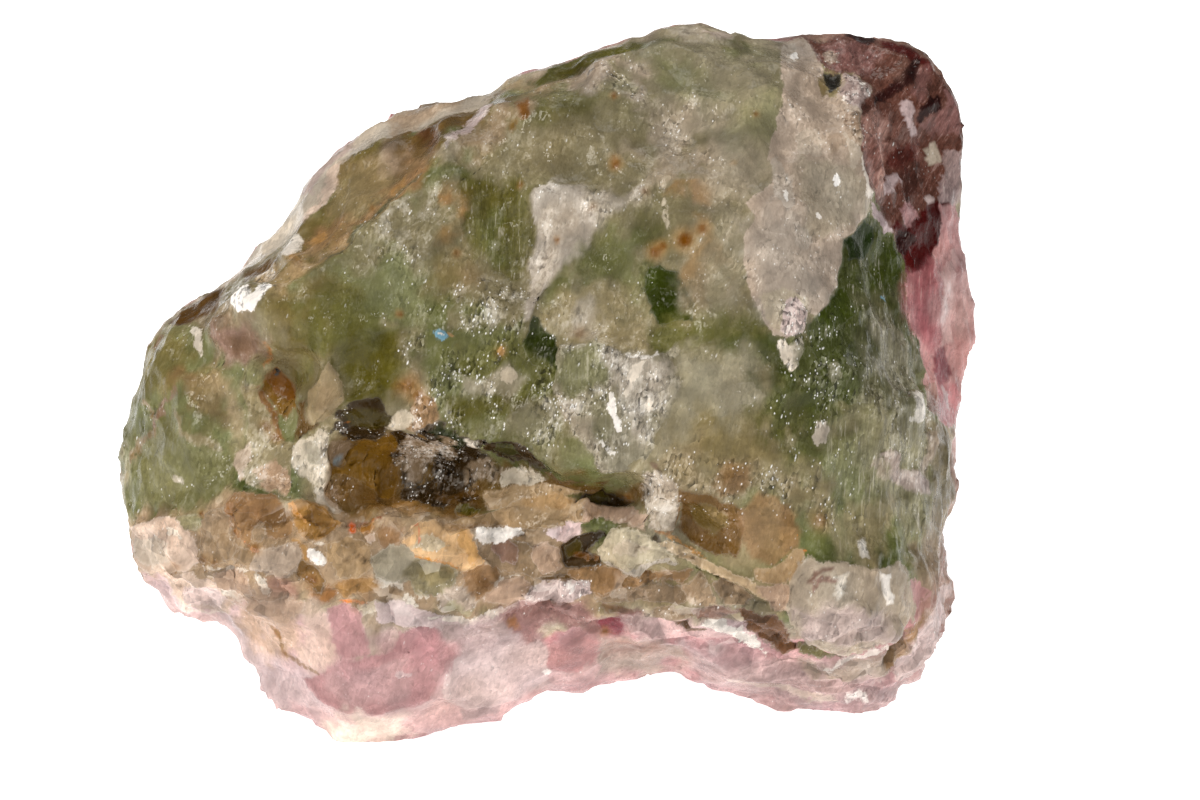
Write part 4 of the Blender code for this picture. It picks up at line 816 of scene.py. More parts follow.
def ledge_share(points):
    """1 on the flaky courses between the green body and the pink layer, 0 away from them."""
    x, y, w = to_drawing(points)
    top = np.interp(x, [120, 230, 340, 560, 670, 800, 960], [510, 492, 500, 498, 530, 590, 640])
    bottom = np.interp(x, [120, 250, 440, 530, 680, 830, 960], [600, 612, 628, 604, 640, 690, 700])
    front = step(top - 14, top + 14, y) * (1 - step(bottom - 10, bottom + 22, y))
    return front * step(-6, 0, w) + 0.45 * (1 - step(-6, 0, w)) * step(470, 560, y)


def rim_share(x, y):
    """1 on the outline and 0 from about 1.5 mm inside it, by the distance to the drawn outline."""
    ends = np.array([(a, b) for a, b, _ in OUTLINE])
    nearest = np.full(len(x), 1e9)
    for (ax, ay), (bx, by) in zip(ends, np.roll(ends, -1, axis=0)):
        dx, dy = bx - ax, by - ay
        t = np.clip(((x - ax) * dx + (y - ay) * dy) / (dx * dx + dy * dy), 0, 1)
        nearest = np.minimum(nearest, (x - ax - t * dx) ** 2 + (y - ay - t * dy) ** 2)
    return np.exp(-nearest / 14.0**2)


def broken(points):
    """How far the broken surface stands out from the drawn one, in mm."""
    warp = np.stack([swell(points / 3.1 + 50 * s, 90 + s) for s in range(3)], 1)
    bent = points + 0.8 * warp
    ledge = ledge_share(points)
    x, y, w = to_drawing(points)
    base = step(600, 640, y) * (1 - ledge)  # the pink base broke in larger, smoother faces
    calm = 1 - 0.65 * rim_share(x, y)  # the outline keeps its drawn shape
    out = 0.35 * calm * rough(points / 9.0, 11, 3)
    out += SCOOP_DEPTH_MM * calm * (1 - 0.5 * ledge) * scoops(bent / SCOOP_MM, 21)
    out += FINE_SCOOP_DEPTH_MM * (1 - 0.4 * base) * scoops(bent / FINE_SCOOP_MM + 7.7, 41)
    out += COURSE_DEPTH_MM * ledge * chips(bent / np.array(COURSE_MM), 61)
    return out



VIEW = np.array([0.0, -math.cos(TILT), math.sin(TILT)])  # towards the viewer, in the stone's own frame
HAZE_OFF = np.array([0.96, 0.92, 0.88])  # the light is a little strong and cool for these colours
SHEEN = 0.010  # what the surface's own sheen adds comes off the colours first
EFFECTS = {"v": "Veil", "s": "Spark", "c": "Clear", "r": "Rust", "u": "Upright", "g": "Slant", "f": "Flake"}


LAYERS = 6  # coats of colour with a sharp edge, one over another


def shade_of(name):
    """The palette colour in linear light."""
    c = np.array(PALETTE[name]) / 255
    linear = np.where(c <= 0.04045, c / 12.92, ((c + 0.055) / 1.055) ** 2.4)
    return np.maximum(linear * HAZE_OFF - SHEEN, 0.003)


def effects_of(text):
    """Letters, each with a share after it: v.25r is a quarter of veil and all of rust."""
    found, letter = {}, None
    for c in text:
        if c.isalpha():
            letter = c
            found[c] = ""
        else:
            found[letter] += c
    return {letter: float(share or 1) for letter, share in found.items()}


def read_zones():
    """Each zone as (colour, strength, softness, ragged edge, lift, effects, corners)."""
    found = []
    for row in ZONES.splitlines():
        if row and not row.startswith("#"):
            head, tail = row.split(":")
            name, *words = head.split()
            numbers = [float(word) for word in words[:4]]
            corners = [tuple(float(v) for v in pair.split(",")) for pair in tail.split()]
            found.append((name, *numbers, effects_of("".join(words[4:])), corners))
    return found


def inside(x, y, corners, wide=0.0):
    """Signed distance in mm to a drawn zone, positive inside it, or to the side of a line of that width."""
    if wide:
        nearest = np.full(len(x), 1e9)
        for n, ((ax, ay), (bx, by)) in enumerate(zip(corners, corners[1:])):
            dx, dy = bx - ax, by - ay
            t = np.clip(((x - ax) * dx + (y - ay) * dy) / (dx * dx + dy * dy), 0, 1)
            run = (n + t) / (len(corners) - 1)
            half = wide / 2 * (0.35 + 0.65 * np.sqrt(np.clip(4 * run * (1 - run), 0, 1)))
            nearest = np.minimum(nearest, np.hypot(x - ax - t * dx, y - ay - t * dy) - half)
        return -nearest * UNIT_MM
    nearest = np.full(len(x), 1e9)
    within = np.zeros(len(x), bool)
    for (ax, ay), (bx, by) in zip(corners, corners[1:] + corners[:1]):
        dx, dy = bx - ax, by - ay
        t = np.clip(((x - ax) * dx + (y - ay) * dy) / (dx * dx + dy * dy), 0, 1)
        nearest = np.minimum(nearest, (x - ax - t * dx) ** 2 + (y - ay - t * dy) ** 2)
        within ^= ((ay > y) != (by > y)) & (x < (bx - ax) * (y - ay) / (by - ay if by != ay else 1e-9) + ax)
    return np.where(within, 1, -1) * np.sqrt(nearest) * UNIT_MM


def to_centre(points, size, seed):
    """From each point to the middle of the irregular shard it lies in, in mm, and the shard's own number, 0 to 1."""
    at_size = points / size
    cell = np.floor(at_size).astype(np.int64)
    nearest = np.full(len(points), 9.0)
    found = np.zeros_like(points)
    own = np.zeros(len(points))
    for i in (-1, 0, 1):
        for j in (-1, 0, 1):
            for k in (-1, 0, 1):
                at = cell + (i, j, k)
                spot = np.stack([hashed(*at.T, seed + s) for s in (1, 2, 3)], 1)
                away = at + spot - at_size
                far = (away * away).sum(1)
                closer = far < nearest
                nearest = np.where(closer, far, nearest)
                found = np.where(closer[:, None], away, found)
                own = np.where(closer, hashed(*at.T, seed + 4), own)
    return found * size, own


def shares(points, facing):
    """How much each zone covers each point, as (zone, indices, share, how deep inside in mm)."""
    shard = 0.30 * step(-0.3, 0.5, swell(points / 5.0, 330))[:, None] * to_centre(points, 1.5, 340)[0]
    x, y, _ = to_drawing(points + shard)
    wave = np.stack([rough(points / 2.2 + 31 * s, 300 + s, 3) for s in range(2)], 1)
    slow = np.stack([0.45 * swell(points / 4.5 + 31 * s, 320 + s) for s in range(2)], 1)
    haze = rough(points * np.array([1.0, 0.8, 0.55]) / 1.1, 350, 4) + 0.4 * (to_centre(points, 0.9, 360)[1] - 0.5)
    for zone in read_zones():
        _, _, soft, ragged, _, effects, corners = zone
        at = np.array(corners)
        wide = effects.get("w", 0)
        edge = (2 * soft + 2 * ragged) / UNIT_MM + 14 + wide
        near = np.flatnonzero(
            (x > at[:, 0].min() - edge) & (x < at[:, 0].max() + edge)
            & (y > at[:, 1].min() - edge) & (y < at[:, 1].max() + edge) & (facing > 0)
        )
        bent = (wave[near] + slow[near]) * ragged / UNIT_MM
        deep = inside(x[near] + bent[:, 0], y[near] + bent[:, 1], corners, wide)
        if soft > 0.35:  # deep in the crystal, so hazy: each is thicker and thinner from place to place
            soft, deep = 2.0 * soft, deep + 0.9 * min(soft, 1.2) * haze[near]
        yield zone, near, step(-soft / 2, soft / 2, deep) * facing[near], deep


def layered(points):
    """The colour right through the stone, in linear light: the green body, a pale seam and the pink base and back."""
    x, y, w = to_drawing(points)
    slow, mid, quick_ = (rough(points / size + seed, seed, 3) for size, seed in ((11, 201), (5, 211), (2.2, 221)))
    seam = np.interp(y, [30, 300, 440, 560, 620, 740], [-3.2, -3.4, -3.0, -1.0, 6.0, 9.0])
    seam = seam - 2.0 * step(700, 930, x) * (1 - step(420, 560, y)) + 1.3 * slow + 0.7 * mid
    depth = w - seam

    def mixed(names, amount):
        """A run of colours picked by a noise from about -1 to 1."""
        place = np.clip(amount * 0.5 + 0.5, 0, 0.999) * (len(names) - 1)
        low = place.astype(int)
        table = np.stack([shade_of(n) for n in names])
        part = (place - low)[:, None]
        return table[low] * (1 - part) + table[np.minimum(low + 1, len(names) - 1)] * part

    green = mixed(["pine", "green", "leaf", "khaki", "grey"], 0.9 * slow + 0.55 * mid)
    bands = np.sin(depth / 1.3 + 1.6 * slow + 0.5 * mid)  # growth zones
    pink = mixed(["mauve", "rose", "pink", "petal", "blush"], 0.45 * bands + 0.35 * slow + 0.3 * quick_ + 0.1)
    wine = mixed(["wine", "burgundy", "dusk", "mauve"], 0.9 * mid + 0.5 * quick_)
    pale = mixed(["tan", "cream", "frost", "shell"], 0.9 * quick_ + 0.4 * mid)
    top_right = step(690, 830, x + 40 * mid) * (1 - step(230, 330, y + 30 * slow))
    pink = pink * (1 - top_right[:, None]) + wine * top_right[:, None]
    low = step(600, 690, y + 14 * mid)[:, None]
    under = step(0.6, -0.6, depth + 0.4 * quick_)[:, None]
    band = (step(-0.6, 0.3, depth + 0.5 * quick_) * step(2.6, 0.9, depth + 0.6 * quick_))[:, None]
    # paler toward the lower left and along the bottom: partly the pink base's own paler colour, partly a painted glow
    # of the thin lower edges
    left = (step(340, 220, x) * step(520, 570, y))[:, None]
    pink = pink * (1 - 0.8 * left) + shade_of("blush") * 0.8 * left
    pink = pink * (1 - 0.55 * low) + shade_of("orchid") * 0.55 * low
    right = (step(890, 935, x) * step(420, 470, y) * (1 - step(610, 660, y)))[:, None]
    pink = pink * (1 - 0.6 * right) + shade_of("stone") * 0.6 * right
    found = green * (1 - under) + pink * under
    found = found * (1 - 0.8 * band) + pale * 0.8 * band
    return found * (1 - 0.5 * low * (1 - under)) + pink * 0.5 * low * (1 - under)


def refine(points, faces, split):
    """Cuts each triangle of split into four, and its neighbours to match, so the surface stays closed."""
    ends = np.sort(np.concatenate([faces[:, [0, 1]], faces[:, [1, 2]], faces[:, [2, 0]]]), axis=1)
    edges, index = np.unique(ends, axis=0, return_inverse=True)
    index = index.reshape(3, -1).T
    marked = np.zeros(len(edges), bool)
    marked[index[split].ravel()] = True
    middle = np.full(len(edges), -1)
    middle[marked] = len(points) + np.arange(marked.sum())
    points = np.concatenate([points, points[edges[marked]].mean(1)])
    m = middle[index]
    count = (m >= 0).sum(1)
    found = [faces[count == 0]]
    (a, b, c), (ab, bc, ca) = faces[count == 3].T, m[count == 3].T
    found += [np.stack(t, 1) for t in ((a, ab, ca), (ab, b, bc), (ca, bc, c), (ab, bc, ca))]
    for turn in range(3):
        f, k = np.roll(faces, -turn, 1), np.roll(m, -turn, 1)
        one = (count == 1) & (k[:, 0] >= 0)
        (a, b, c), ab = f[one].T, k[one, 0]
        found += [np.stack((a, ab, c), 1), np.stack((ab, b, c), 1)]
        two = (count == 2) & (k[:, 2] < 0)
        (a, b, c), ab, bc = f[two].T, k[two, 0], k[two, 1]
        found += [np.stack((ab, b, bc), 1), np.stack((a, ab, bc), 1), np.stack((a, bc, c), 1)]
    return points, np.concatenate(found)


def normals_of(points, faces):
    a, b, c = (points[faces[:, i]] for i in range(3))
    each = np.cross(b - a, c - a)
    found = np.zeros_like(points)
    for i in range(3):
        for k in range(3):
            found[:, k] += np.bincount(faces[:, i], weights=each[:, k], minlength=len(points))
    return found / np.maximum(np.linalg.norm(found, axis=1, keepdims=True), 1e-12)


def even_surface():
    """The drawn solid as a smooth, even, closed surface: points in mm and triangles."""
    drawn = bpy.data.meshes.new("drawn")
    bm = drawn_solid()
    bm.to_mesh(drawn)
    bm.free()
    obj = bpy.data.objects.new("drawn", drawn)
    bpy.context.scene.collection.objects.link(obj)
    even = obj.modifiers.new("even", "REMESH")
    even.mode = "VOXEL"
    even.voxel_size = VOXEL_MM
    soften = obj.modifiers.new("soften", "SMOOTH")
    soften.factor, soften.iterations = 0.5, SMOOTHING
    mesh = bpy.data.meshes.new_from_object(obj.evaluated_get(bpy.context.evaluated_depsgraph_get()))
    mesh.calc_loop_triangles()
    points = np.empty(len(mesh.vertices) * 3, np.float32)
    mesh.vertices.foreach_get("co", points)
    faces = np.empty(len(mesh.loop_triangles) * 3, np.int32)
    mesh.loop_triangles.foreach_get("vertices", faces)
    bpy.data.objects.remove(obj)
    bpy.data.meshes.remove(mesh)
    bpy.data.meshes.remove(drawn)
    return points.reshape(-1, 3).astype(np.float64), faces.reshape(-1, 3)


def fine_breakage(points, facing):
    """The finer breakage that the plain solid leaves out, in mm."""
    x, y, w = to_drawing(points)
    ledge = ledge_share(points)
    warp = np.stack([swell(points / 1.7 + 50 * s, 190 + s) for s in range(3)], 1)
    bent = points + 0.45 * warp
    out = (0.06 + 0.07 * ledge) * scoops(bent / 1.15 + 3.3, 141)
    out += (0.02 + 0.04 * ledge) * scoops(bent / 0.62 + 9.1, 151)
    out += 0.26 * ledge * chips(bent / np.array([2.4, 0.9, 1.7]), 161)
    # cleavage steps: thin plates left standing on the main face
    lean = np.stack([bent[:, 0] * 0.5, bent[:, 1] * 0.9, bent[:, 2] * 0.55], 1) / 2.1
    plates = chips(lean + 5.0, 171)
    out += 0.16 * (1 - ledge) * step(0.1, 0.5, swell(points / 6.0, 181)) * plates
    # upright striations on the right side
    up = y * UNIT_MM
    side = step(800, 880, x) * (1 - ledge)
    streaks = np.stack([points[:, 0] / 0.55, points[:, 1] / 0.8, up / 4.5], 1)
    out += 0.10 * side * rough(streaks, 185, 2)
    out += 0.015 * rough(points / 0.55, 188, 2)
    # the side away from the viewer broke along the cleavage: low steps and shallow bowls
    steps = np.stack([bent[:, 0] * 0.9, bent[:, 1] * 0.6, bent[:, 2] * 0.5], 1) / 3.4
    out += (1 - facing) * (0.34 * chips(steps + 7.0, 176) + 0.14 * scoops(bent / 2.6 + 1.7, 178))
    return out


class Coat:
    """One coat of colour: how deep each point lies inside it, in mm, its colour, its strength and its soft edge in mm."""

    def __init__(self, count):
        self.deep = np.full(count, -1.0)
        self.tint = np.zeros((count, 3))
        self.strength = np.zeros(count)
        self.soft = np.full(count, 0.05)

    def add(self, near, deep, shade, strength, soft):
        own = deep > np.minimum(self.deep[near], 0)
        at = near[own]
        self.tint[at], self.strength[at], self.soft[at] = shade, strength[own], soft
        self.deep[near] = np.maximum(self.deep[near], deep)


def coat_for(coats, near, deep):
    """The coat a sharp zone goes on: above those it covers, and if it can be on one that is free around it."""
    within, around = near[deep > 0.12], near[deep > -0.45]
    lowest = max([n + 1 for n, coat in enumerate(coats) if (coat.deep[within] > 0.12).any()], default=0)
    for coat in coats[lowest:]:
        if not (coat.deep[around] > -0.45).any():
            return coat
    return coats[min(lowest, LAYERS - 1)]


def make_stone():
    points, faces = even_surface()
    normals = normals_of(points, faces)
    look = normals @ VIEW
    split = (look[faces] > 0.0).all(1)
    points, faces = refine(points, faces, split)
    normals = normals_of(points, faces)
    facing = step(-0.15, 0.08, normals @ VIEW)
    print("stone:", len(points), "points,", len(faces), "triangles")

    tint = layered(points)
    marks = {name: np.zeros(len(points)) for name in EFFECTS.values()}
    marks["Veil"] += 0.25
    marks["Flake"] += 0.35 * ledge_share(points)
    lift = np.zeros(len(points))
    across_x, across_y, _ = to_drawing(points)
    coats = [Coat(len(points)) for _ in range(LAYERS)]
    for (name, strength, soft, ragged, raised, effects, corners), near, share, deep in shares(points, facing):
        much = (share * strength)[:, None]
        shade = shade_of(name)
        shade = shade * (1 - effects.get("d", 0))
        if soft <= 0.30 and strength >= 0.45:
            coat_for(coats, near, deep).add(near, deep, shade, strength * facing[near], max(0.35 * soft, 0.03))
            below = (step(-0.05, 0.35, deep) * strength * facing[near])[:, None]
            tint[near] += (shade - tint[near]) * below
        else:
            for layer in [tint] + [coat.tint for coat in coats]:
                layer[near] = layer[near] * (1 - much) + shade * much
        for mark, channel in EFFECTS.items():
            if mark != "f" or mark in effects:
                marks[channel][near] = marks[channel][near] * (1 - share * strength) + effects.get(mark, 0) * share * strength
        if raised:
            edge = step(-0.22, 0.22, deep) * facing[near]
            middle, size = np.mean(corners, 0), max(np.ptp(corners, 0).min(), 10.0) / 2
            turn = 2.4 * middle[0] + 1.7 * middle[1]
            across = ((across_x[near] - middle[0]) * math.cos(turn) + (across_y[near] - middle[1]) * math.sin(turn)) / size
            tilted = 0.8 * np.clip(across, -1.2, 1.2) if raised > 0 and "w" not in effects else 0.0
            lift[near] += raised * edge * (0.8 + tilted + 0.25 * np.exp(-np.abs(deep) / 0.5))

    # clouds deep in the crystal, and shards that are a little lighter or darker
    cloud, patch = rough(points / 2.6, 401, 3), rough(points / 1.3, 411, 3)
    for size, seed, much in ((2.8, 421, 0.16), (1.2, 431, 0.20)):
        cloud = cloud + much * 4 * (to_centre(points, size, seed)[1] - 0.5)
    turn = rough(points / 3.4, 441, 2)[:, None]
    for layer in [tint] + [coat.tint for coat in coats]:
        layer *= np.clip(1 + 0.20 * cloud + 0.16 * patch, 0.4, 1.8)[:, None] * (1 + turn * np.array([0.03, 0.0, -0.035]))
    marks["Veil"] = np.clip(marks["Veil"] * (1 + 0.7 * patch + 0.5 * cloud), 0, 1)
    marks["Spark"] = np.clip(marks["Spark"] + 0.3 * marks["Veil"] + 0.04, 0, 1) * step(-0.6, 0.3, patch + 0.5 * cloud)
    x, y, _ = to_drawing(points)
    for sx, sy, r, strength in SPOTS:
        away = np.hypot(x - sx, y - sy)
        halo = 0.45 * strength * facing * step(3.0 * r, 0.8 * r, away)
        core = strength * facing * step(1.5 * r, 0.6 * r, away)
        for much, name in ((halo, "honey"), (core, "cocoa")):
            for layer in [tint] + [coat.tint for coat in coats]:
                layer += (shade_of(name) - layer) * much[:, None]

    out = broken(points) + fine_breakage(points, facing) + lift
    points = points + normals * out[:, None]
    points[:, 2] = np.maximum(points[:, 2], GROUND_MM)
    points -= (*ORIGIN_MM, GROUND_MM)

    mesh = bpy.data.meshes.new("fluorite_stone")
    mesh.vertices.add(len(points))
    mesh.vertices.foreach_set("co", (points * 0.001).astype(np.float32).ravel())
    mesh.loops.add(3 * len(faces))
    mesh.loops.foreach_set("vertex_index", faces.astype(np.int32).ravel())
    mesh.polygons.add(len(faces))
    mesh.polygons.foreach_set("loop_start", np.arange(0, 3 * len(faces), 3, dtype=np.int32))
    mesh.update(calc_edges=True)
    mesh.validate()
    mesh.shade_smooth()
    named = {"Tint": tint}
    for n, coat in enumerate(coats):
        named["Coat_" + str(n)] = coat.tint
        named["Edge_" + str(n)] = np.stack([coat.deep, coat.strength, coat.soft], 1)
    for name, values in named.items():
        colour = mesh.attributes.new(name, "FLOAT_COLOR", "POINT")
        values = np.concatenate([values, np.ones((len(values), 1))], 1)
        colour.data.foreach_set("color", values.astype(np.float32).ravel())
    for name, values in marks.items():
        layer = mesh.attributes.new(name, "FLOAT", "POINT")
        layer.data.foreach_set("value", values.astype(np.float32))
    obj = bpy.data.objects.new("fluorite_stone", mesh)
    bpy.context.scene.collection.objects.link(obj)
    return obj


class Graph:
    """Shader nodes from plain calls. A value is a number, a colour or vector, or another node's output."""

    def __init__(self, tree):
        self.tree = tree
        tree.nodes.clear()

    def node(self, kind, inputs=(), **settings):
        made = self.tree.nodes.new(kind)
        for name, value in settings.items():
            setattr(made, name, value)
        for key, value in dict(inputs).items():
            if isinstance(value, bpy.types.NodeSocket):
                self.tree.links.new(value, made.inputs[key])
            else:
                made.inputs[key].default_value = value
        return made

    def math(self, how, a, b=0.0, c=0.0, clamp=False):
        return self.node("ShaderNodeMath", {0: a, 1: b, 2: c}, operation=how, use_clamp=clamp).outputs[0]

    def vector(self, how, a, b=(0, 0, 0)):
        made = self.node("ShaderNodeVectorMath", {0: a, 1: b}, operation=how)
        return made.outputs["Value" if how == "DOT_PRODUCT" or how == "DISTANCE" else "Vector"]

    def scaled(self, a, amount):
        made = self.node("ShaderNodeVectorMath", {0: a}, operation="SCALE")
        if isinstance(amount, bpy.types.NodeSocket):
            self.tree.links.new(amount, made.inputs["Scale"])
        else:
            made.inputs["Scale"].default_value = amount
        return made.outputs["Vector"]

    def mixed(self, share, a, b, how="MIX"):
        made = self.node("ShaderNodeMix", {0: share, 6: a, 7: b}, data_type="RGBA", blend_type=how)
        return made.outputs[2]

    def ramp(self, value, low, high, to_low=0.0, to_high=1.0):
        made = self.node(
            "ShaderNodeMapRange", {0: value, 1: low, 2: high, 3: to_low, 4: to_high}, interpolation_type="SMOOTHSTEP"
        )
        return made.outputs[0]

    def noise(self, vector, scale, detail=4.0, rough_=0.55, kind="FBM", which=0):
        made = self.node(
            "ShaderNodeTexNoise",
            {"Vector": vector, "Scale": scale, "Detail": detail, "Roughness": rough_},
            noise_type=kind,
        )
        return made.outputs[which]

    def cells(self, vector, scale, which="Color", feature="F1"):
        made = self.node("ShaderNodeTexVoronoi", {"Vector": vector, "Scale": scale}, feature=feature)
        return made.outputs[which]

    def read(self, name, which="Fac"):
        return self.node("ShaderNodeAttribute", attribute_name=name).outputs[which]


def stone_material():
    material = bpy.data.materials.new("rough_fluorite")
    material.use_nodes = True
    g = Graph(material.node_tree)
    colour = g.read("Tint", "Color")
    veil, spark, clear, rust, upright, slant, flake = (g.read(name) for name in EFFECTS.values())

    # Millimetres in the drawing's own axes: across, up, towards the viewer
    at = g.scaled(g.node("ShaderNodeTexCoord").outputs["Object"], 1000.0)

    def leaning(along, stretch, scale=1.0, deep=0.9):
        """Coordinates drawn out along one direction of the drawing, for streaks and cleavage."""
        a, b = along
        rows = [
            (b, -a * math.sin(TILT), -a * math.cos(TILT)),
            (a, b * math.sin(TILT), b * math.cos(TILT)),
            (0.0, -math.cos(TILT), math.sin(TILT)),
        ]
        return g.node("ShaderNodeCombineXYZ", {
            i: g.vector("DOT_PRODUCT", at, tuple(v * scale * much for v in row))
            for i, (row, much) in enumerate(zip(rows, (1.0, stretch, deep)))
        }).outputs[0]

    def shards(scale, stretch, along, metric="EUCLIDEAN"):
        """Flakes of the broken crystal: for each a tone, a slope from dim to bright across it, and a tilt."""
        where = leaning(along, stretch, scale)
        made = g.node("ShaderNodeTexVoronoi", {"Vector": where, "Scale": 1.0}, distance=metric, feature="F1")
        way = g.vector("SUBTRACT", made.outputs["Color"], (0.5, 0.5, 0.5))
        slope = g.vector("DOT_PRODUCT", g.vector("SUBTRACT", where, made.outputs["Position"]), way)
        tone = g.node("ShaderNodeSeparateXYZ", {0: way}).outputs[0]
        return tone, slope, way

    large = shards(0.40, 0.75, (0.26, 0.965))
    middle = shards(1.10, 0.62, (0.40, 0.917))
    small = shards(3.0, 0.55, (0.22, 0.975))
    wisp = g.noise(leaning((0.26, 0.965), 0.55), 1.2, 4.0, 0.60)
    grain = g.noise(leaning((0.20, 0.980), 0.60), 5.5, 2.0, 0.60)
    cloud, speck = g.math("SUBTRACT", wisp, 0.5), g.math("SUBTRACT", grain, 0.5)

    # coats of colour with sharp, broken edges: a painted highlight just inside each edge, and on the flakes a painted
    # shade line just outside it
    wobble = g.math("MULTIPLY_ADD", small[0], 0.16, g.math("MULTIPLY", speck, 0.25))
    for n in range(LAYERS):
        data = g.node("ShaderNodeSeparateXYZ", {0: g.read("Edge_" + str(n), "Color")}).outputs
        deep = g.math("ADD", data[0], wobble)
        share = g.math("MULTIPLY_ADD", g.math("DIVIDE", deep, data[2]), 0.5, 0.5, clamp=True)
        rim = g.math("MULTIPLY", g.ramp(deep, -0.17, -0.02), g.ramp(deep, 0.05, -0.02))
        colour = g.scaled(colour, g.math("MULTIPLY_ADD", g.math("MULTIPLY", rim, flake), -0.22, 1.0))
        colour = g.mixed(g.math("MULTIPLY", share, data[1]), colour, g.read("Coat_" + str(n), "Color"))
        rim = g.math("MULTIPLY", g.ramp(deep, -0.01, 0.03), g.ramp(deep, 0.13, 0.05))
        rim = g.math("MULTIPLY", g.math("MULTIPLY", rim, data[1]), g.math("MULTIPLY_ADD", flake, 0.25, 0.05))
        colour = g.mixed(rim, colour, (0.78, 0.73, 0.67, 1))

    def mixture(terms):
        """Sum of noises, each with its own share, a number or another noise."""
        total = 0.0
        for term, much in terms:
            total = g.math("MULTIPLY_ADD", term, much, total)
        return total

    value = mixture((
        (cloud, g.math("MULTIPLY_ADD", veil, 0.8, 0.4)), (speck, g.math("MULTIPLY_ADD", spark, 1.6, 0.20)),
        (large[0], g.math("MULTIPLY_ADD", flake, 0.22, 0.06)), (large[1], g.math("MULTIPLY_ADD", flake, 0.9, 0.25)),
        (small[0], g.math("MULTIPLY_ADD", spark, 0.35, 0.05)), (small[1], g.math("MULTIPLY_ADD", spark, 2.2, 0.2)),
        (middle[0], g.math("MULTIPLY", flake, 0.25)), (middle[1], g.math("MULTIPLY_ADD", flake, 0.9, 0.12)),
    ))
    # what is lighter is hazier too: a mix with the pale of the haze, not a stronger colour
    pale = (0.62, 0.575, 0.525, 1)
    lighter = g.mixed(g.math("MULTIPLY_ADD", veil, 0.8, 0.0, clamp=True), g.scaled(colour, 2.0), pale)
    dimmed = g.scaled(colour, g.math("MAXIMUM", g.math("ADD", g.math("MINIMUM", value, 0.0), 1.0), 0.3))
    colour = g.mixed(g.math("MAXIMUM", value, 0.0, clamp=True), dimmed, lighter)

    # fracture veils: soft pale haze, thicker where there is more veil
    score = mixture(((cloud, 0.7), (speck, 0.18), (middle[1], g.math("MULTIPLY", flake, 0.5))))
    veils = g.math("DIVIDE", g.math("ADD", score, g.math("MULTIPLY_ADD", veil, 0.16, -0.09)), 0.16, clamp=True)
    veils = g.math("MULTIPLY", veils, g.math("MULTIPLY_ADD", veil, 0.62, 0.03))
    colour = g.mixed(veils, colour, g.mixed(0.55, g.scaled(colour, 1.7), (0.68, 0.64, 0.59, 1)))

    # painted highlight along one edge of each flake and painted shade along the opposite edge
    bright = g.math("MULTIPLY", g.ramp(large[1], 0.20, 0.30), g.math("MULTIPLY", flake, 0.45))
    colour = g.mixed(bright, colour, (0.85, 0.80, 0.74, 1))
    painted_edge_shade = g.math("MULTIPLY", g.ramp(large[1], -0.20, -0.32), g.math("MULTIPLY", flake, 0.25))
    colour = g.scaled(colour, g.math("SUBTRACT", 1.0, painted_edge_shade))

    # short white scratches and grains; where there is sparkle the white specks also stand in for glints, as painted
    # highlights in the colour
    bits = None
    gathered = g.math("MULTIPLY", spark, g.math("MULTIPLY_ADD", cloud, 5.0, 0.55, clamp=True))
    for scale, stretch, along, size in ((3.6, 0.35, (0.35, 0.937), 0.27), (6.2, 0.6, (0.2, 0.98), 0.42)):
        spot = g.node("ShaderNodeTexVoronoi", {"Vector": leaning(along, stretch, scale), "Scale": 1.0})
        pick = g.node("ShaderNodeSeparateColor", {0: spot.outputs["Color"]}).outputs[0]
        chosen = g.math("DIVIDE", g.math("SUBTRACT", pick, g.math("MULTIPLY_ADD", gathered, -0.62, 0.985)), 0.10, clamp=True)
        bit = g.math("MULTIPLY", g.ramp(spot.outputs["Distance"], size, size * 0.5), chosen)
        bits = bit if bits is None else g.math("MAXIMUM", bits, bit)
    colour = g.mixed(g.math("MULTIPLY", bits, 0.8), colour, (0.92, 0.90, 0.87, 1))

    # upright and slanting streaks
    lines = []
    for share, along, tone in ((upright, (0.05, 1.0), (0.60, 0.54, 0.48, 1)), (slant, (0.52, 0.85), (0.40, 0.27, 0.24, 1))):
        line = g.math("SUBTRACT", g.noise(leaning(along, 0.07, deep=0.4), 3.6, 3.0, 0.8), 0.5)
        colour = g.scaled(colour, g.math("MAXIMUM", g.math("MULTIPLY_ADD", line, g.math("MULTIPLY", share, 2.8), 1.0), 0.3))
        bright = g.math("MULTIPLY", g.ramp(line, 0.09, 0.17), g.math("MULTIPLY", share, 0.5))
        colour = g.mixed(bright, colour, tone)
        lines.append(g.math("MULTIPLY", line, share))

    # rust in the cracks and pits
    stain = g.noise(at, 1.7, 3.0, 0.68)
    edge = g.math("MULTIPLY_ADD", rust, -0.34, 0.72)
    stains = g.math("DIVIDE", g.math("SUBTRACT", stain, edge), 0.12, clamp=True)
    stains = g.math("MULTIPLY", stains, g.ramp(rust, 0.0, 0.25))
    colour = g.mixed(g.math("MULTIPLY", stains, 0.75), colour, (0.40, 0.20, 0.055, 1))
    core = g.math("DIVIDE", g.math("SUBTRACT", stain, g.math("ADD", edge, 0.12)), 0.10, clamp=True)
    colour = g.mixed(g.math("MULTIPLY", g.math("MULTIPLY", core, stains), 0.8), colour, (0.10, 0.030, 0.008, 1))

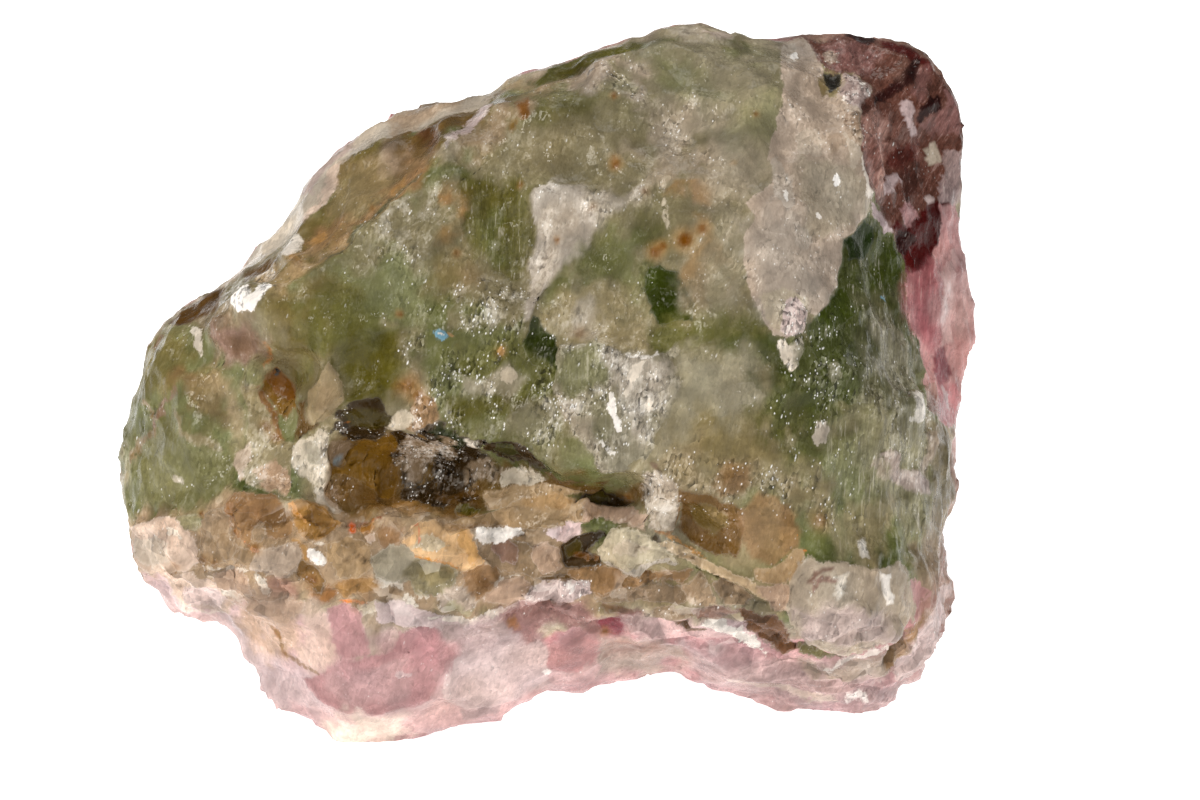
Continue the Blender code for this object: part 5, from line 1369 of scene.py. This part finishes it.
    # flat faces that glint, over the broken relief
    tilt = g.vector("ADD", g.scaled(large[2], g.math("MULTIPLY_ADD", flake, 0.3, 0.20)),
                    g.scaled(middle[2], g.math("MULTIPLY_ADD", spark, 0.8, 0.15)))
    normal = g.vector("NORMALIZE", g.vector("ADD", g.node("ShaderNodeNewGeometry").outputs["Normal"], tilt))
    relief = g.noise(leaning((0.26, 0.965), 0.55), 4.0, 1.0, 0.6)
    bump = g.node(
        "ShaderNodeBump", {"Height": relief, "Strength": 1.0, "Distance": 0.00005, "Normal": normal}
    ).outputs[0]

    rough_ = g.math("MULTIPLY_ADD", speck, 0.5, g.math("MULTIPLY_ADD", middle[0], 0.25, 0.24))
    rough_ = g.math("MAXIMUM", g.math("MULTIPLY_ADD", veils, 0.12, rough_), 0.10)

    shader = g.node("ShaderNodeBsdfPrincipled", {
        "Base Color": colour, "Roughness": rough_, "Normal": bump, "IOR": 1.434, "Specular IOR Level": 0.22,
        "Specular Tint": (1.0, 0.95, 0.85, 1),
        "Transmission Weight": g.math("MULTIPLY", clear, 0.55),
    })
    out = g.node("ShaderNodeOutputMaterial", {"Surface": shader.outputs[0]})
    inner = g.node("ShaderNodeVolumeAbsorption")
    inner.inputs["Color"].default_value = (0.62, 0.66, 0.36, 1)
    inner.inputs["Density"].default_value = 120.0
    g.tree.links.new(inner.outputs[0], out.inputs["Volume"])
    return material


def make_floor():
    mesh = bpy.data.meshes.new("floor")
    side = 8.0
    mesh.from_pydata([(-side, -side, 0), (side, -side, 0), (side, side, 0), (-side, side, 0)], [], [(0, 1, 2, 3)])
    floor = bpy.data.objects.new("floor", mesh)
    bpy.context.scene.collection.objects.link(floor)
    material = bpy.data.materials.new("pale_floor")
    material.use_nodes = True
    shader = material.node_tree.nodes["Principled BSDF"]
    shader.inputs["Base Color"].default_value = (0.9, 0.9, 0.9, 1)
    shader.inputs["Roughness"].default_value = 0.7
    shader.inputs["Specular IOR Level"].default_value = 0.1
    shader.inputs["Emission Color"].default_value = (1, 1, 1, 1)
    shader.inputs["Emission Strength"].default_value = 0.88
    mesh.materials.append(material)
    return floor


def light(name, place, aim, width, height, power, tone=(1, 1, 1)):
    lamp = bpy.data.lights.new(name, "AREA")
    lamp.shape, lamp.size, lamp.size_y = "RECTANGLE", width, height
    lamp.energy, lamp.color = power, tone
    obj = bpy.data.objects.new(name, lamp)
    bpy.context.scene.collection.objects.link(obj)
    obj.location = place
    obj.rotation_mode = "QUATERNION"
    obj.rotation_quaternion = (Vector(aim) - Vector(place)).to_track_quat("-Z", "Y")
    return obj


def make_world():
    world = bpy.data.worlds.new("studio")
    world.use_nodes = True
    g = Graph(world.node_tree)
    ray = g.node("ShaderNodeTexCoord").outputs["Generated"]
    height = g.node("ShaderNodeSeparateXYZ", {0: ray}).outputs[2]
    glow = g.mixed(g.ramp(height, -0.02, 0.12), (1, 1, 1, 1), (0.17, 0.165, 0.15, 1))
    back = g.node("ShaderNodeBackground", {"Color": glow, "Strength": 1.0})
    g.node("ShaderNodeOutputWorld", {"Surface": back.outputs[0]})
    bpy.context.scene.world = world


def make_camera():
    lens = 420.0
    data = bpy.data.cameras.new("camera")
    data.lens, data.sensor_width = lens, 36.0
    data.clip_start, data.clip_end = 0.01, 20.0
    camera = bpy.data.objects.new("camera", data)
    bpy.context.scene.collection.objects.link(camera)
    right, up, back = Vector((1, 0, 0)), Vector((0, math.sin(TILT), math.cos(TILT))), Vector(VIEW)
    middle = Vector((-ORIGIN_MM[0], -ORIGIN_MM[1], -GROUND_MM)) * 0.001
    wide = 1200 * UNIT_MM * 0.001
    aim = middle + right * (600 - CENTRE_X) * UNIT_MM * 0.001 + up * (CENTRE_Y - 400) * UNIT_MM * 0.001
    camera.location = aim + back * (lens * wide / 36.0)
    camera.rotation_mode = "QUATERNION"
    camera.rotation_quaternion = Matrix((right, up, back)).transposed().to_quaternion()
    bpy.context.scene.camera = camera
    return camera


make_camera()
make_world()
make_floor()
light("key", (-0.36, -0.20, 0.48), (0, 0, 0.02), 0.20, 0.16, 1.9, (1.0, 0.98, 0.95))
light("fill", (0.45, -0.40, 0.25), (0, 0, 0.02), 0.25, 0.25, 0.25)
light("top", (0.05, 0.25, 0.55), (0, 0, 0.03), 0.30, 0.20, 0.7)
for n, place in enumerate(((-0.16, -0.50, 0.50), (0.22, -0.45, 0.52), (0.02, -0.30, 0.66), (-0.40, -0.35, 0.22))):
    light("glint_" + str(n), place, (0, 0, 0.02), 0.035, 0.035, 0.34)

stone = make_stone()
stone.data.materials.append(stone_material())
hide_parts("fluorite")
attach(stone, "root")

bpy.context.scene.view_settings.view_transform = "Standard"
bpy.context.scene.view_settings.look = "None"
